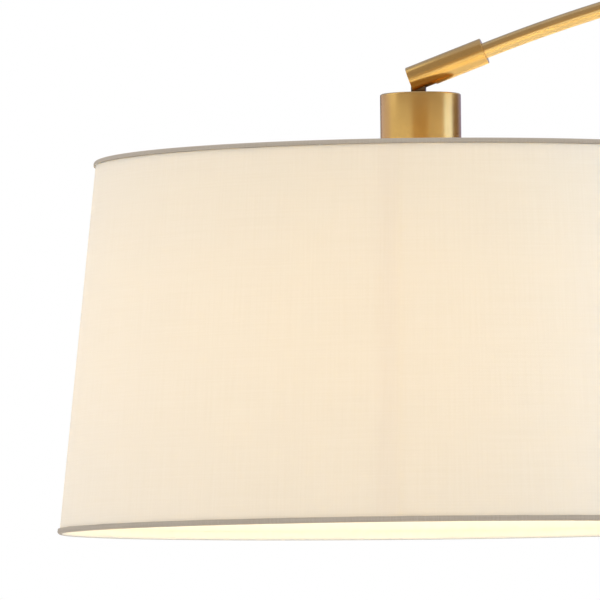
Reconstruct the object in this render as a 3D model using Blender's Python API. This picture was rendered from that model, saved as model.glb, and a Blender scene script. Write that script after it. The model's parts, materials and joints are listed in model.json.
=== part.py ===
"""Swing arm wall sconce: an arched brass arm on a wall bracket carries a drum shade on a knuckle.

Frame, in metres with +Z up: the wall is the plane Y = 0 and the room is on its -Y side. The origin is the
centre of the mounting bracket's back face, which lies on the wall. At rest the arm is in the plane X = 0.
"""

import math

import bmesh
import bpy
from mathutils import Matrix, Vector

# ------------------------------------------------------------------ driving dimensions, in metres
GAP = 0.0003  # clearance between pieces that touch
FINE = 32  # sides of the large round pieces
MEDIUM = 18  # sides of the small turned pieces, a multiple of six for the hexagonal nuts
COARSE = 12  # sides of screws and arm tube
SHADE_SIDES = 48  # a multiple of three, so that each spoke meets a corner

# Shade, 16 inches across the bottom
SHADE_BOTTOM_RADIUS = 0.2034
SHADE_TOP_RADIUS = 0.1812
SHADE_HEIGHT = 0.206
FABRIC_THICKNESS = 0.0006
LINER_THICKNESS = 0.0005
RING_WIRE_RADIUS = 0.0008
HEM_THICKNESS = 0.0005
HEM_OUTER_LEG = 0.0030
HEM_INNER_LEG = 0.0045
SPOKE_RADIUS = 0.0011
SHADE_TURN = math.radians(-10.5)  # of the first spoke from +X, about the shade's axis

# Socket cup and the lamp holder inside it
CUP_RADIUS = 0.0224
CUP_HEIGHT = 0.0477
CUP_WALL = 0.0012
CUP_CORNER = 0.0010
CUP_ABOVE_SHADE = 0.0361
HUB_RADIUS = 0.0250
HUB_THICKNESS = 0.0016
SOCKET_RADIUS = 0.0195
SOCKET_BELOW_HUB = 0.024
SOCKET_BORE = 0.0150
BULB_RADIUS = 0.0300
BULB_NECK_RADIUS = 0.0130
BULB_BELOW_HUB = 0.056  # depth of the globe's rim
LEAD_CORE_RADIUS = 0.0006

# Knuckle
PIVOT_ABOVE_CUP = 0.0094
SLEEVE_RADIUS = 0.0074
SLEEVE_LENGTH = 0.0446
SLEEVE_TAIL = 0.0051  # length of the sleeve beyond the pivot
SLEEVE_CHAMFER = 0.0004
SLOT_HALF_WIDTH = 0.0035
SLOT_DEPTH = 0.0133
SLOT_ROOF = 0.0050  # how far the slot, open below, reaches above the pivot
TONGUE_HALF_THICKNESS = 0.0024
TONGUE_RADIUS = 0.0040  # of its eye, and half the width of its neck
TONGUE_OFFSET = 0.0010  # of the cup's axis from the tilt pivot, towards the wall
TONGUE_STUD_RADIUS = 0.0030
FLANGE_RADIUS = 0.0044
FLANGE_HEIGHT = 0.0012
FLANGE_OFFSET = 0.0004  # of the flange from the cup's axis, away from the wall
PIVOT_SCREW_RADIUS = 0.0018
SET_SCREW_RADIUS = 0.0013
SET_SCREW_INSET = 0.0095  # from the end that the arm goes in at

# Arm: a straight foot, a bend and a long flat arch that ends DROOP below the horizontal
ARM_RADIUS = 0.0044
ARM_BORE = 0.0030
STRAIGHT_TOP = 0.1277
BEND_RADIUS = 0.260
ARCH_RADIUS = 0.9038
JOIN_SLOPE = math.radians(12.0)
DROOP = math.radians(20.5)
ARM_INSERTION = 0.0200
ARM_LEAD_RADIUS = 0.0021

# Swing pivot
SWING_OFFSET = 0.058  # distance of the swing axis from the wall
BARREL_RADIUS = 0.0100
BARREL_HALF_HEIGHT = 0.022
BARREL_BORE = 0.0062
PIN_RADIUS = 0.0058
THRUST_RADIUS = 0.0094
WASHER_THICKNESS = 0.0012
PIVOT_NUT_HEIGHT = 0.0040
PIN_BELOW_BARREL = 0.0100

# Wall bracket
PLATE_RADIUS = 0.0625
PLATE_DEPTH = 0.022
PLATE_WALL = 0.0015
PLATE_CORNER = 0.0030
BRACKET_THICKNESS = 0.002
BRACKET_HALF_WIDTH = 0.011
BRACKET_UPRIGHT = 0.052
BRACKET_CROSSBAR = 0.048
SLOT_RADIUS = 0.00225
SLOT_REACHES = (0.036, 0.044)
STUD_REACH = 0.040
STUD_RADIUS = 0.0020
STUD_END = 0.0290
GROUND_SCREW_REACH = 0.024
GROUND_SCREW_RADIUS = 0.0017
STEM_TAIL = 0.0125  # how far the stem's threaded tail stays off the wall
STEM_THREAD_RADIUS = 0.0050
STEM_TENON_RADIUS = 0.0045
STEM_BORE = 0.0030
SWITCH_DROP = 0.038
SWITCH_RADIUS = 0.0095
SHAFT_RADIUS = 0.0017
CONNECTOR_REACH = 0.028
CONNECTOR_TOP = -0.020
WIRING_DEPTH = 0.0088
SUPPLY_LEAD_RADIUS = 0.0010

# ------------------------------------------------------------------ places worked out from them
# In the shade head, heights are from the tilt pivot, and the Z axis is the cup's.
CUP_TOP = -PIVOT_ABOVE_CUP
HUB_TOP = CUP_TOP - CUP_HEIGHT - GAP
SHADE_TOP = CUP_TOP - CUP_ABOVE_SHADE
SHADE_BOTTOM = SHADE_TOP - SHADE_HEIGHT
SHADE_SLOPE = (SHADE_BOTTOM_RADIUS - SHADE_TOP_RADIUS) / SHADE_HEIGHT
STUD_BOTTOM = CUP_TOP - 0.0227
LEAD_EXIT = CUP_TOP - 0.0112
SOCKET_TOP = CUP_TOP - 0.0167
SOCKET_MOUTH = HUB_TOP - SOCKET_BELOW_HUB
SOCKET_FLOOR = HUB_TOP + 0.0043
# Along the knuckle's sleeve, distances are from the tilt pivot up the arm.
SLEEVE_REACH = SLEEVE_LENGTH - SLEEVE_TAIL
SLOT_END = SLOT_DEPTH - SLEEVE_TAIL
# About the swing axis, heights are from the stem's axis.
FOOT_SHOULDER = BARREL_HALF_HEIGHT + WASHER_THICKNESS + 2 * GAP
FOOT_TOP = FOOT_SHOULDER + SLEEVE_LENGTH
FOOT_BOTTOM = -BARREL_HALF_HEIGHT - PIN_BELOW_BARREL
PIVOT_NUT_TOP = -BARREL_HALF_HEIGHT - WASHER_THICKNESS - 2 * GAP
PIVOT_NUT_BOTTOM = PIVOT_NUT_TOP - PIVOT_NUT_HEIGHT
# On the wall bracket, distances are from the wall out into the room.
PLATE_INSIDE = PLATE_DEPTH - PLATE_WALL
PLATE_FACE = PLATE_DEPTH + GAP
COVER_HOLE = STEM_THREAD_RADIUS + GAP


def on_arc(centre, radius, slope):
    """The point of an arc in the arm's plane where the arm climbs at this slope on its way out."""
    return centre + radius * Vector((0, math.sin(slope), math.cos(slope)))


BEND_CENTRE = Vector((0, -BEND_RADIUS, STRAIGHT_TOP))
ARCH_CENTRE = on_arc(BEND_CENTRE, BEND_RADIUS - ARCH_RADIUS, JOIN_SLOPE)
ARM_END = on_arc(ARCH_CENTRE, ARCH_RADIUS, -DROOP)
SLEEVE_DIRECTION = Vector((0, math.cos(DROOP), math.sin(DROOP)))
TILT_PIVOT = ARM_END - SLEEVE_REACH * SLEEVE_DIRECTION


# ------------------------------------------------------------------ materials
def make_material(name, colour, roughness, metallic=0.0):
    material = bpy.data.materials.new(name)
    material.use_nodes = True
    shader = material.node_tree.nodes["Principled BSDF"]
    shader.inputs["Base Color"].default_value = (*colour, 1.0)
    shader.inputs["Roughness"].default_value = roughness
    shader.inputs["Metallic"].default_value = metallic
    return material


def make_materials():
    return {
        "brass": make_material("brushed brass", (0.62, 0.42, 0.17), 0.28, 1.0),
        "steel": make_material("zinc plated steel", (0.62, 0.63, 0.64), 0.35, 1.0),
        "linen": make_material("ivory linen", (0.93, 0.87, 0.76), 0.9),
        "liner": make_material("white styrene", (0.95, 0.94, 0.90), 0.5),
        "phenolic": make_material("black phenolic", (0.03, 0.03, 0.03), 0.45),
        "plastic": make_material("white plastic", (0.88, 0.88, 0.86), 0.4),
        "opal": make_material("opal diffuser", (0.97, 0.95, 0.90), 0.3),
        "nylon": make_material("natural nylon", (0.85, 0.83, 0.76), 0.5),
        "black lead": make_material("black insulation", (0.02, 0.02, 0.02), 0.5),
        "white lead": make_material("white insulation", (0.85, 0.85, 0.83), 0.5),
        "green": make_material("green insulation", (0.03, 0.30, 0.08), 0.5),
    }


# ------------------------------------------------------------------ modelling helpers
def add_object(name, mesh, material, parent, location=(0, 0, 0), rotation=(0, 0, 0)):
    mesh.materials.append(material)
    mesh.shade_smooth()
    mesh.set_sharp_from_angle(angle=math.radians(35))
    piece = bpy.data.objects.new(name, mesh)
    piece.parent = parent
    piece.location = location
    piece.rotation_euler = rotation
    bpy.context.scene.collection.objects.link(piece)
    return piece


def add_axis(name, parent=None, location=(0, 0, 0), rotation=(0, 0, 0)):
    """An empty that the pieces of one axis hang from."""
    axis = bpy.data.objects.new(name, None)
    axis.parent = parent
    axis.location = location
    axis.rotation_euler = rotation
    bpy.context.scene.collection.objects.link(axis)
    return axis


def finished(shape, name):
    bmesh.ops.recalc_face_normals(shape, faces=shape.faces)
    mesh = bpy.data.meshes.new(name)
    shape.to_mesh(mesh)
    shape.free()
    return mesh


def turned(name, profile, material, parent, sides=MEDIUM, location=(0, 0, 0), rotation=(0, 0, 0)):
    """A piece turned about its Z axis from (radius, height) points.

    The profile closes on itself, unless both of its ends lie on the axis.
    """
    shape = bmesh.new()
    points = [shape.verts.new((radius, 0, height)) for radius, height in profile]
    edges = [shape.edges.new(pair) for pair in zip(points, points[1:])]
    if profile[0][0] > 0 or profile[-1][0] > 0:
        edges.append(shape.edges.new((points[-1], points[0])))
    full_turn = 2 * math.pi
    outline = points + edges
    bmesh.ops.spin(
        shape, geom=outline, cent=(0, 0, 0), axis=(0, 0, 1), angle=full_turn, steps=sides, use_merge=True
    )
    bmesh.ops.remove_doubles(shape, verts=shape.verts, dist=1e-6)
    return add_object(name, finished(shape, name), material, parent, location, rotation)


def ring_profile(inner, outer, low, high, chamfer=0.0):
    """The profile of a ring, with its outer edges chamfered if asked."""
    if not chamfer:
        return [(inner, low), (outer, low), (outer, high), (inner, high)]
    return [
        (inner, low),
        (outer - chamfer, low),
        (outer, low + chamfer),
        (outer, high - chamfer),
        (outer - chamfer, high),
        (inner, high),
    ]


def disc_profile(radius, low, high):
    return [(0, low), (radius, low), (radius, high), (0, high)]


def arc_points(radius, height, size, start, end, steps):
    """Points of an arc in a turned profile, about (radius, height), between two angles in degrees."""
    angles = [math.radians(start + (end - start) * step / steps) for step in range(steps + 1)]
    return [(max(0, radius + size * math.cos(a)), height + size * math.sin(a)) for a in angles]


def hex_nut(name, across_flats, bore, low, high, material, parent):
    """A hexagonal nut about the Z axis. Its bore has as many corners as the flats, joined straight across."""
    shape = bmesh.new()
    loops = []
    for height, outside in ((low, False), (low, True), (high, True), (high, False)):
        loop = []
        for step in range(MEDIUM):
            angle = 2 * math.pi * step / MEDIUM
            from_flat = (angle % (math.pi / 3)) - math.pi / 6
            radius = across_flats / 2 / math.cos(from_flat) if outside else bore
            loop.append(shape.verts.new((radius * math.cos(angle), radius * math.sin(angle), height)))
        loops.append(loop)
    join_loops(shape, [*loops, loops[0]])
    return add_object(name, finished(shape, name), material, parent)


def join_loops(shape, loops):
    """Faces between each loop of vertices and the next one."""
    for near, far in zip(loops, loops[1:]):
        for side in range(len(near)):
            following = (side + 1) % len(near)
            shape.faces.new((near[side], near[following], far[following], far[side]))


def rods(*ends_and_radii, sides=COARSE):
    """A mesh of separate round rods, each given as its start, its end and its radius."""
    shape = bmesh.new()
    for start, end, radius in ends_and_radii:
        start, end = Vector(start), Vector(end)
        turn = (end - start).to_track_quat("Z", "Y").to_matrix().to_4x4()
        place = Matrix.Translation((start + end) / 2) @ turn
        bmesh.ops.create_cone(
            shape,
            cap_ends=True,
            segments=sides,
            radius1=radius,
            radius2=radius,
            depth=(end - start).length,
            matrix=place,
        )
    return finished(shape, "rods")


def block(low, high):
    """A mesh of a box, given as its lowest and highest corner."""
    low, high = Vector(low), Vector(high)
    shape = bmesh.new()
    place = Matrix.Translation((low + high) / 2) @ Matrix.Diagonal((*(high - low), 1))
    bmesh.ops.create_cube(shape, size=1, matrix=place)
    return finished(shape, "block")


def combine(piece, mesh, operation="DIFFERENCE"):
    """Cuts a mesh, given in the piece's own coordinates, from the piece, or joins it on."""
    tool = bpy.data.objects.new(f"{piece.name}_tool_{len(piece.modifiers)}", mesh)
    tool.parent = piece.parent
    tool.location = piece.location
    tool.rotation_euler = piece.rotation_euler
    tool.hide_render = True
    tool.display_type = "WIRE"
    bpy.context.scene.collection.objects.link(tool)
    modifier = piece.modifiers.new(operation.lower(), "BOOLEAN")
    modifier.operation = operation
    modifier.object = tool


def smooth_route(points, spacing):
    """Points about this far apart on a Catmull-Rom curve through the given ones."""
    points = [Vector(point) for point in points]
    ends = [2 * points[0] - points[1], *points, 2 * points[-1] - points[-2]]
    route = []
    for before, start, end, after in zip(ends, ends[1:], ends[2:], ends[3:]):
        steps = max(1, round((end - start).length / spacing))
        for step in range(steps):
            t = step / steps
            linear = (end - before) * t
            square = (2 * before - 5 * start + 4 * end - after) * t**2
            cube = (3 * start - before - 3 * end + after) * t**3
            route.append((2 * start + linear + square + cube) / 2)
    return [*route, points[-1]]


def lead(name, route, radius, material, parent):
    """A round lead or wire along a list of points."""
    curve = bpy.data.curves.new(name, "CURVE")
    curve.dimensions = "3D"
    curve.bevel_depth = radius
    curve.bevel_resolution = 2
    curve.use_fill_caps = True
    curve.materials.append(material)
    spline = curve.splines.new("POLY")
    spline.points.add(len(route) - 1)
    for point, place in zip(spline.points, route):
        point.co = (*place, 1)
    piece = bpy.data.objects.new(name, curve)
    piece.parent = parent
    bpy.context.scene.collection.objects.link(piece)
    return piece


def set_screw(name, material, parent, location, rotation):
    """A socket set screw that bears on the arm, its outer end just under the sleeve's surface."""
    profile = disc_profile(SET_SCREW_RADIUS, ARM_RADIUS + 2 * GAP, SLEEVE_RADIUS - GAP)
    turned(name, profile, material, parent, COARSE, location, rotation)


# ------------------------------------------------------------------ wall bracket
# Local Z points out of the wall.
def through_plate(x, y, radius):
    """A cutting rod through the backplate's face."""
    return ((x, y, PLATE_INSIDE - 0.001), (x, y, PLATE_DEPTH + 0.001), radius)


def make_mounting_bracket(axis, paint):
    """A stamped steel cross. Its upright takes the wall box screws and its crossbar the backplate studs."""
    half, up, across = BRACKET_HALF_WIDTH, BRACKET_UPRIGHT, BRACKET_CROSSBAR
    quarter = ((half, up), (half, half), (across, half))
    shape = bmesh.new()
    corners = []
    for x_sign, y_sign in ((1, 1), (1, -1), (-1, -1), (-1, 1)):
        points = quarter if x_sign == y_sign else reversed(quarter)
        corners += [shape.verts.new((x_sign * x, y_sign * y, 0)) for x, y in points]
    face = shape.faces.new(corners)
    raised = bmesh.ops.extrude_face_region(shape, geom=[face])["geom"]
    top = [vertex for vertex in raised if isinstance(vertex, bmesh.types.BMVert)]
    bmesh.ops.translate(shape, verts=top, vec=(0, 0, BRACKET_THICKNESS))
    bracket = add_object("mounting_bracket", finished(shape, "mounting_bracket"), paint["steel"], axis)

    below, above = -0.001, BRACKET_THICKNESS + 0.001
    near, far = SLOT_REACHES
    for side in (-1, 1):
        for reach in SLOT_REACHES:
            combine(bracket, rods(((0, side * reach, below), (0, side * reach, above), SLOT_RADIUS)))
        low, high = sorted((side * near, side * far))
        combine(bracket, block((-SLOT_RADIUS, low, below), (SLOT_RADIUS, high, above)))
    ground_hole = (GROUND_SCREW_REACH, GROUND_SCREW_RADIUS)
    holes = ((-STUD_REACH, STUD_RADIUS), (STUD_REACH, STUD_RADIUS), ground_hole)
    combine(bracket, rods(*[((x, 0, below), (x, 0, above), radius + GAP) for x, radius in holes]))


def make_backplate(axis, paint):
    """A spun brass dish with its open side on the wall."""
    turn = PLATE_RADIUS - PLATE_CORNER, PLATE_DEPTH - PLATE_CORNER
    profile = [
        (PLATE_RADIUS, 0),
        *arc_points(*turn, PLATE_CORNER, 0, 90, 4),
        (COVER_HOLE, PLATE_DEPTH),
        (COVER_HOLE, PLATE_INSIDE),
        *arc_points(*turn, PLATE_CORNER - PLATE_WALL, 90, 0, 2),
        (PLATE_RADIUS - PLATE_WALL, 0),
    ]
    plate = turned("backplate", profile, paint["brass"], axis, sides=FINE)
    studs = [through_plate(side * STUD_REACH, 0, STUD_RADIUS + GAP) for side in (-1, 1)]
    combine(plate, rods(*studs, through_plate(0, -SWITCH_DROP, COVER_HOLE)))


def make_backplate_fixings(axis, paint):
    """Two studs in the bracket, each with the cap nut that holds the backplate on."""
    bore, flange, neck = STUD_RADIUS + GAP, 0.0058, 0.0048
    flange_top, dome_base = PLATE_FACE + 0.0014, PLATE_FACE + 0.0050
    cap = [
        (0, STUD_END + GAP),
        (bore, STUD_END + GAP),
        (bore, PLATE_FACE),
        (flange, PLATE_FACE),
        (flange, flange_top),
        (neck, flange_top + 0.0006),
        *arc_points(0, dome_base, neck, 0, 90, 4),
    ]
    for name, side in (("left", -1), ("right", 1)):
        place = (side * STUD_REACH, 0, 0)
        stud = disc_profile(STUD_RADIUS, GAP, STUD_END)
        turned(f"backplate_stud_{name}", stud, paint["steel"], axis, COARSE, place)
        turned(f"cap_nut_{name}", cap, paint["brass"], axis, location=place)


def make_stem(axis, paint):
    """The hollow stem that carries the swing barrel. A nut inside the backplate holds its thread."""
    stem = turned("wall_stem", disc_profile(SLEEVE_RADIUS, PLATE_FACE, SWING_OFFSET), paint["brass"], axis)
    reach = 2 * BARREL_RADIUS
    saddle = rods(((0, -reach, SWING_OFFSET), (0, reach, SWING_OFFSET), BARREL_RADIUS + GAP), sides=FINE)
    combine(stem, saddle)
    inside_stem = (PLATE_FACE + SWING_OFFSET - BARREL_RADIUS) / 2
    thread = rods(((0, 0, STEM_TAIL), (0, 0, inside_stem), STEM_THREAD_RADIUS), sides=MEDIUM)
    combine(stem, thread, "UNION")
    tenon_end = SWING_OFFSET - BARREL_BORE - GAP
    tenon = rods(((0, 0, inside_stem), (0, 0, tenon_end), STEM_TENON_RADIUS), sides=MEDIUM)
    combine(stem, tenon, "UNION")
    combine(stem, rods(((0, 0, 0), (0, 0, SWING_OFFSET), STEM_BORE)))

    washer_top = PLATE_INSIDE - GAP
    nut_top = washer_top - 0.0010 - GAP
    washer = ring_profile(COVER_HOLE, 0.0090, washer_top - 0.0010, washer_top)
    turned("stem_washer", washer, paint["steel"], axis)
    hex_nut("stem_nut", 0.014, COVER_HOLE, nut_top - 0.004, nut_top, paint["steel"], axis)


def make_switch(axis, knob_axis, paint):
    """A rotary canopy switch: its body and bushing, the nut outside, and the shaft and knob that turn."""
    bore = SHAFT_RADIUS + GAP
    body_bottom, bore_bottom, bushing_top = 0.0082, 0.0100, 0.0275
    body = [
        (0, body_bottom),
        (SWITCH_RADIUS, body_bottom),
        (SWITCH_RADIUS, PLATE_INSIDE - GAP),
        (STEM_THREAD_RADIUS, PLATE_INSIDE - GAP),
        (STEM_THREAD_RADIUS, bushing_top),
        (bore, bushing_top),
        (bore, bore_bottom),
        (0, bore_bottom),
    ]
    place = (0, -SWITCH_DROP, 0)
    turned("switch_body", body, paint["phenolic"], axis, location=place)
    nut_top = PLATE_FACE + 0.0020
    nut = ring_profile(COVER_HOLE, 0.0078, PLATE_FACE, nut_top, 0.0004)
    turned("switch_nut", nut, paint["brass"], axis, location=place)

    shaft_top, knob_top, knob_bottom = 0.0350, 0.0400, nut_top + GAP
    shaft = disc_profile(SHAFT_RADIUS, bore_bottom + GAP, shaft_top)
    turned("switch_shaft", shaft, paint["brass"], knob_axis, COARSE)
    hollow, knob_radius = STEM_THREAD_RADIUS + 2 * GAP, 0.0075
    knob = [
        (0, shaft_top + GAP),
        (bore, shaft_top + GAP),
        (bore, bushing_top + GAP),
        (hollow, bushing_top + GAP),
        (hollow, knob_bottom),
        (knob_radius - 0.0003, knob_bottom),
        (knob_radius, knob_bottom + 0.0003),
        (knob_radius - 0.0003, knob_top - 0.0010),
        (knob_radius - 0.0013, knob_top),
        (0, knob_top),
    ]
    turned("switch_knob", knob, paint["brass"], knob_axis)


def make_wiring(axis, paint):
    """Two supply leads from the stem to twist-on connectors, and the ground lead to its screw."""
    mouth, cavity, length = 0.0020, 0.0100, 0.0184
    connector = [
        (0, -cavity),
        (mouth, -cavity),
        (mouth, 0),
        (0.0056, 0),
        (0.0052, -cavity),
        (0.0036, 0.0004 - length),
        (0, -length),
    ]
    in_stem = 0.048
    for name, side, colour in (("line", -1, "black lead"), ("neutral", 1, "white lead")):
        place = (side * CONNECTOR_REACH, CONNECTOR_TOP, WIRING_DEPTH)
        mouth_up = (-math.pi / 2, 0, 0)
        turned(f"wire_connector_{name}", connector, paint["plastic"], axis, COARSE, place, mouth_up)
        route = [
            (side * 0.0013, 0.0007, in_stem),
            (side * 0.0013, 0.0007, 0.0300),
            (side * 0.0013, 0.0007, 0.0140),
            (side * 0.0024, 0.0011, 0.0098),
            (side * 0.0140, 0.0020, WIRING_DEPTH),
            (side * 0.0235, -0.0030, WIRING_DEPTH),
            (side * CONNECTOR_REACH, -0.0120, WIRING_DEPTH),
            (side * CONNECTOR_REACH, CONNECTOR_TOP - 0.0085, WIRING_DEPTH),
        ]
        lead(f"supply_lead_{name}", smooth_route(route, 0.004), SUPPLY_LEAD_RADIUS, paint[colour], axis)
    head_bottom = BRACKET_THICKNESS + GAP
    route = [
        (0, -0.0015, in_stem),
        (0, -0.0015, 0.0300),
        (0, -0.0015, 0.0140),
        (0.0010, -0.0024, 0.0098),
        (0.0120, -0.0062, 0.0062),
        (GROUND_SCREW_REACH - 0.0045, -0.0050, 0.0056),
    ]
    lead("ground_lead", smooth_route(route, 0.004), SUPPLY_LEAD_RADIUS, paint["green"], axis)
    screw = [
        (0, GAP),
        (GROUND_SCREW_RADIUS, GAP),
        (GROUND_SCREW_RADIUS, head_bottom),
        (0.0040, head_bottom),
        (0.0040, head_bottom + 0.0018),
        (0.0034, head_bottom + 0.0024),
        (0, head_bottom + 0.0024),
    ]
    turned("ground_screw", screw, paint["green"], axis, COARSE, (GROUND_SCREW_REACH, 0, 0))


def make_wall_bracket(paint):
    axis = add_axis("wall_axis", rotation=(math.pi / 2, 0, 0))
    knob_axis = add_axis("switch_axis", axis, location=(0, -SWITCH_DROP, 0))
    make_mounting_bracket(axis, paint)
    make_backplate(axis, paint)
    make_backplate_fixings(axis, paint)
    make_stem(axis, paint)
    make_switch(axis, knob_axis, paint)
    make_wiring(axis, paint)


# ------------------------------------------------------------------ swing pivot
def make_barrel(axis, paint):
    """The bearing that the arm's foot turns in, with a thrust washer above it and a fibre washer below."""
    profile = ring_profile(BARREL_BORE, BARREL_RADIUS, -BARREL_HALF_HEIGHT, BARREL_HALF_HEIGHT, 0.0008)
    barrel = turned("swing_barrel", profile, paint["brass"], axis, sides=FINE)
    combine(barrel, rods(((0, 0, 0), (0, 2 * BARREL_RADIUS, 0), STEM_TENON_RADIUS + GAP), sides=MEDIUM))
    for name, low in (
        ("thrust_washer", BARREL_HALF_HEIGHT + GAP),
        ("fibre_washer", -BARREL_HALF_HEIGHT - GAP - WASHER_THICKNESS),
    ):
        washer = ring_profile(BARREL_BORE, THRUST_RADIUS, low, low + WASHER_THICKNESS)
        turned(name, washer, paint["nylon"], axis)


def make_foot(axis, paint):
    """The arm's foot: a sleeve above the barrel and a bored pin through it, with a window for leads."""
    seat = FOOT_TOP - ARM_INSERTION - GAP
    arm_hole = ARM_RADIUS + GAP
    window_half_height, bore_bottom = 0.0045, -0.0065
    profile = [
        (0, FOOT_BOTTOM),
        (PIN_RADIUS, FOOT_BOTTOM),
        (PIN_RADIUS, FOOT_SHOULDER),
        (SLEEVE_RADIUS - SLEEVE_CHAMFER, FOOT_SHOULDER),
        (SLEEVE_RADIUS, FOOT_SHOULDER + SLEEVE_CHAMFER),
        (SLEEVE_RADIUS, FOOT_TOP - SLEEVE_CHAMFER),
        (SLEEVE_RADIUS - SLEEVE_CHAMFER, FOOT_TOP),
        (arm_hole, FOOT_TOP),
        (arm_hole, seat),
        (STEM_BORE, seat),
        (STEM_BORE, bore_bottom),
        (0, bore_bottom),
    ]
    foot = turned("arm_foot", profile, paint["brass"], axis)
    low = (-SLEEVE_RADIUS, 0.0012, -window_half_height)
    high = (SLEEVE_RADIUS, SLEEVE_RADIUS, window_half_height)
    combine(foot, block(low, high))
    screw_height = FOOT_TOP - SET_SCREW_INSET
    inner_end, outer_end = STEM_BORE, SLEEVE_RADIUS + 0.001
    hole = ((0, inner_end, screw_height), (0, outer_end, screw_height), SET_SCREW_RADIUS + GAP)
    combine(foot, rods(hole))
    set_screw("foot_set_screw", paint["steel"], axis, (0, 0, screw_height), (-math.pi / 2, 0, 0))


def make_retainers(axis, paint):
    """Below the barrel: the pivot nut, and the domed cap on the pin's end that hides it."""
    bore = PIN_RADIUS + GAP
    hex_nut("pivot_nut", 0.0150, bore, PIVOT_NUT_BOTTOM, PIVOT_NUT_TOP, paint["steel"], axis)
    rim, shell = 0.0104, 0.0091
    dome_depth, dome_top = 0.0052, FOOT_BOTTOM - 0.0006
    angles = [math.radians(18 * step) for step in range(6)]
    dome = [(max(0, rim * math.cos(a)), dome_top - dome_depth * math.sin(a)) for a in angles]
    dome[-1] = (0, dome_top - dome_depth)
    profile = [
        *reversed(dome),
        (rim, PIVOT_NUT_TOP - 0.0004),
        (rim - 0.0004, PIVOT_NUT_TOP),
        (shell, PIVOT_NUT_TOP),
        (shell, PIVOT_NUT_BOTTOM - GAP),
        (bore, PIVOT_NUT_BOTTOM - GAP),
        (bore, FOOT_BOTTOM - GAP),
        (0, FOOT_BOTTOM - GAP),
    ]
    turned("pivot_cap", profile, paint["brass"], axis)


# ------------------------------------------------------------------ arm
def arm_route(foot_end, knuckle_end):
    """The arm's centreline, from a height in the foot to a distance from the tilt pivot in the sleeve."""
    bend_steps, arch_steps = 16, 14
    route = [Vector((0, 0, foot_end))]
    for step in range(bend_steps):
        slope = math.pi / 2 + (JOIN_SLOPE - math.pi / 2) * step / bend_steps
        route.append(on_arc(BEND_CENTRE, BEND_RADIUS, slope))
    for step in range(arch_steps + 1):
        slope = JOIN_SLOPE - (JOIN_SLOPE + DROOP) * step / arch_steps
        route.append(on_arc(ARCH_CENTRE, ARCH_RADIUS, slope))
    return [*route, TILT_PIVOT + knuckle_end * SLEEVE_DIRECTION]


def make_arm(axis, paint):
    """A bent tube, and the round two-core lead that runs through it."""
    route = arm_route(FOOT_TOP - ARM_INSERTION, SLEEVE_REACH - ARM_INSERTION)
    sideways = Vector((1, 0, 0))
    angles = [2 * math.pi * side / COARSE for side in range(COARSE)]
    shape = bmesh.new()
    skins = []
    for radius in (ARM_RADIUS, ARM_BORE):
        loops = []
        for place, before, after in zip(route, [route[0], *route], [*route[1:], route[-1]]):
            across = (after - before).normalized().cross(sideways)
            loop = [place + radius * (math.cos(a) * sideways + math.sin(a) * across) for a in angles]
            loops.append([shape.verts.new(point) for point in loop])
        skins.append(loops)
    outer, inner = skins
    join_loops(shape, [*outer, *reversed(inner), outer[0]])
    add_object("arm_tube", finished(shape, "arm_tube"), paint["brass"], axis)
    lead_route = arm_route(0.006, SLOT_END + 0.0013)
    lead("arm_lead", lead_route, ARM_LEAD_RADIUS, paint["white lead"], axis)


# ------------------------------------------------------------------ knuckle
# Local Z runs up the sleeve from the tilt pivot.
def make_sleeve(axis, paint):
    """The upper half of the knuckle: a slotted sleeve on the arm's end, its pivot screw and set screw."""
    seat = SLEEVE_REACH - ARM_INSERTION - GAP
    arm_hole, lead_hole = ARM_RADIUS + GAP, 0.0028
    profile = [
        (lead_hole, -SLEEVE_TAIL),
        (SLEEVE_RADIUS - SLEEVE_CHAMFER, -SLEEVE_TAIL),
        (SLEEVE_RADIUS, -SLEEVE_TAIL + SLEEVE_CHAMFER),
        (SLEEVE_RADIUS, SLEEVE_REACH - SLEEVE_CHAMFER),
        (SLEEVE_RADIUS - SLEEVE_CHAMFER, SLEEVE_REACH),
        (arm_hole, SLEEVE_REACH),
        (arm_hole, seat),
        (lead_hole, seat),
    ]
    sleeve = turned("knuckle_sleeve", profile, paint["brass"], axis)
    outside = SLEEVE_RADIUS + 0.001
    combine(sleeve, block((-SLOT_HALF_WIDTH, -SLOT_ROOF, -outside), (SLOT_HALF_WIDTH, outside, SLOT_END)))
    head_radius, head_height = 0.0030, 0.0012
    head_top = SLEEVE_RADIUS - GAP
    head_bottom = head_top - head_height
    tip = SLEEVE_RADIUS - 0.0019  # the screw's hole is blind on the +X side
    hole = PIVOT_SCREW_RADIUS + GAP
    combine(sleeve, rods(((-outside, 0, 0), (tip + GAP, 0, 0), hole)))
    combine(sleeve, rods(((-outside, 0, 0), (-head_bottom + GAP, 0, 0), head_radius + GAP)))
    screw_place = SLEEVE_REACH - SET_SCREW_INSET
    inner_end = -STEM_BORE
    combine(sleeve, rods(((-outside, 0, screw_place), (inner_end, 0, screw_place), SET_SCREW_RADIUS + GAP)))

    sideways = (0, -math.pi / 2, 0)
    set_screw("sleeve_set_screw", paint["steel"], axis, (0, 0, screw_place), sideways)
    screw = [
        (0, -tip),
        (PIVOT_SCREW_RADIUS, -tip),
        (PIVOT_SCREW_RADIUS, head_bottom),
        (head_radius, head_bottom),
        (head_radius, head_top - 0.0003),
        (head_radius - 0.0003, head_top),
        (0, head_top),
    ]
    turned("knuckle_screw", screw, paint["brass"], axis, COARSE, rotation=sideways)
    washer = ring_profile(hole, 0.0040, TONGUE_HALF_THICKNESS + GAP, SLOT_HALF_WIDTH - GAP)
    for name, turn in (("front", math.pi / 2), ("back", -math.pi / 2)):
        turned(f"knuckle_washer_{name}", washer, paint["nylon"], axis, COARSE, rotation=(0, turn, 0))


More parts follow.
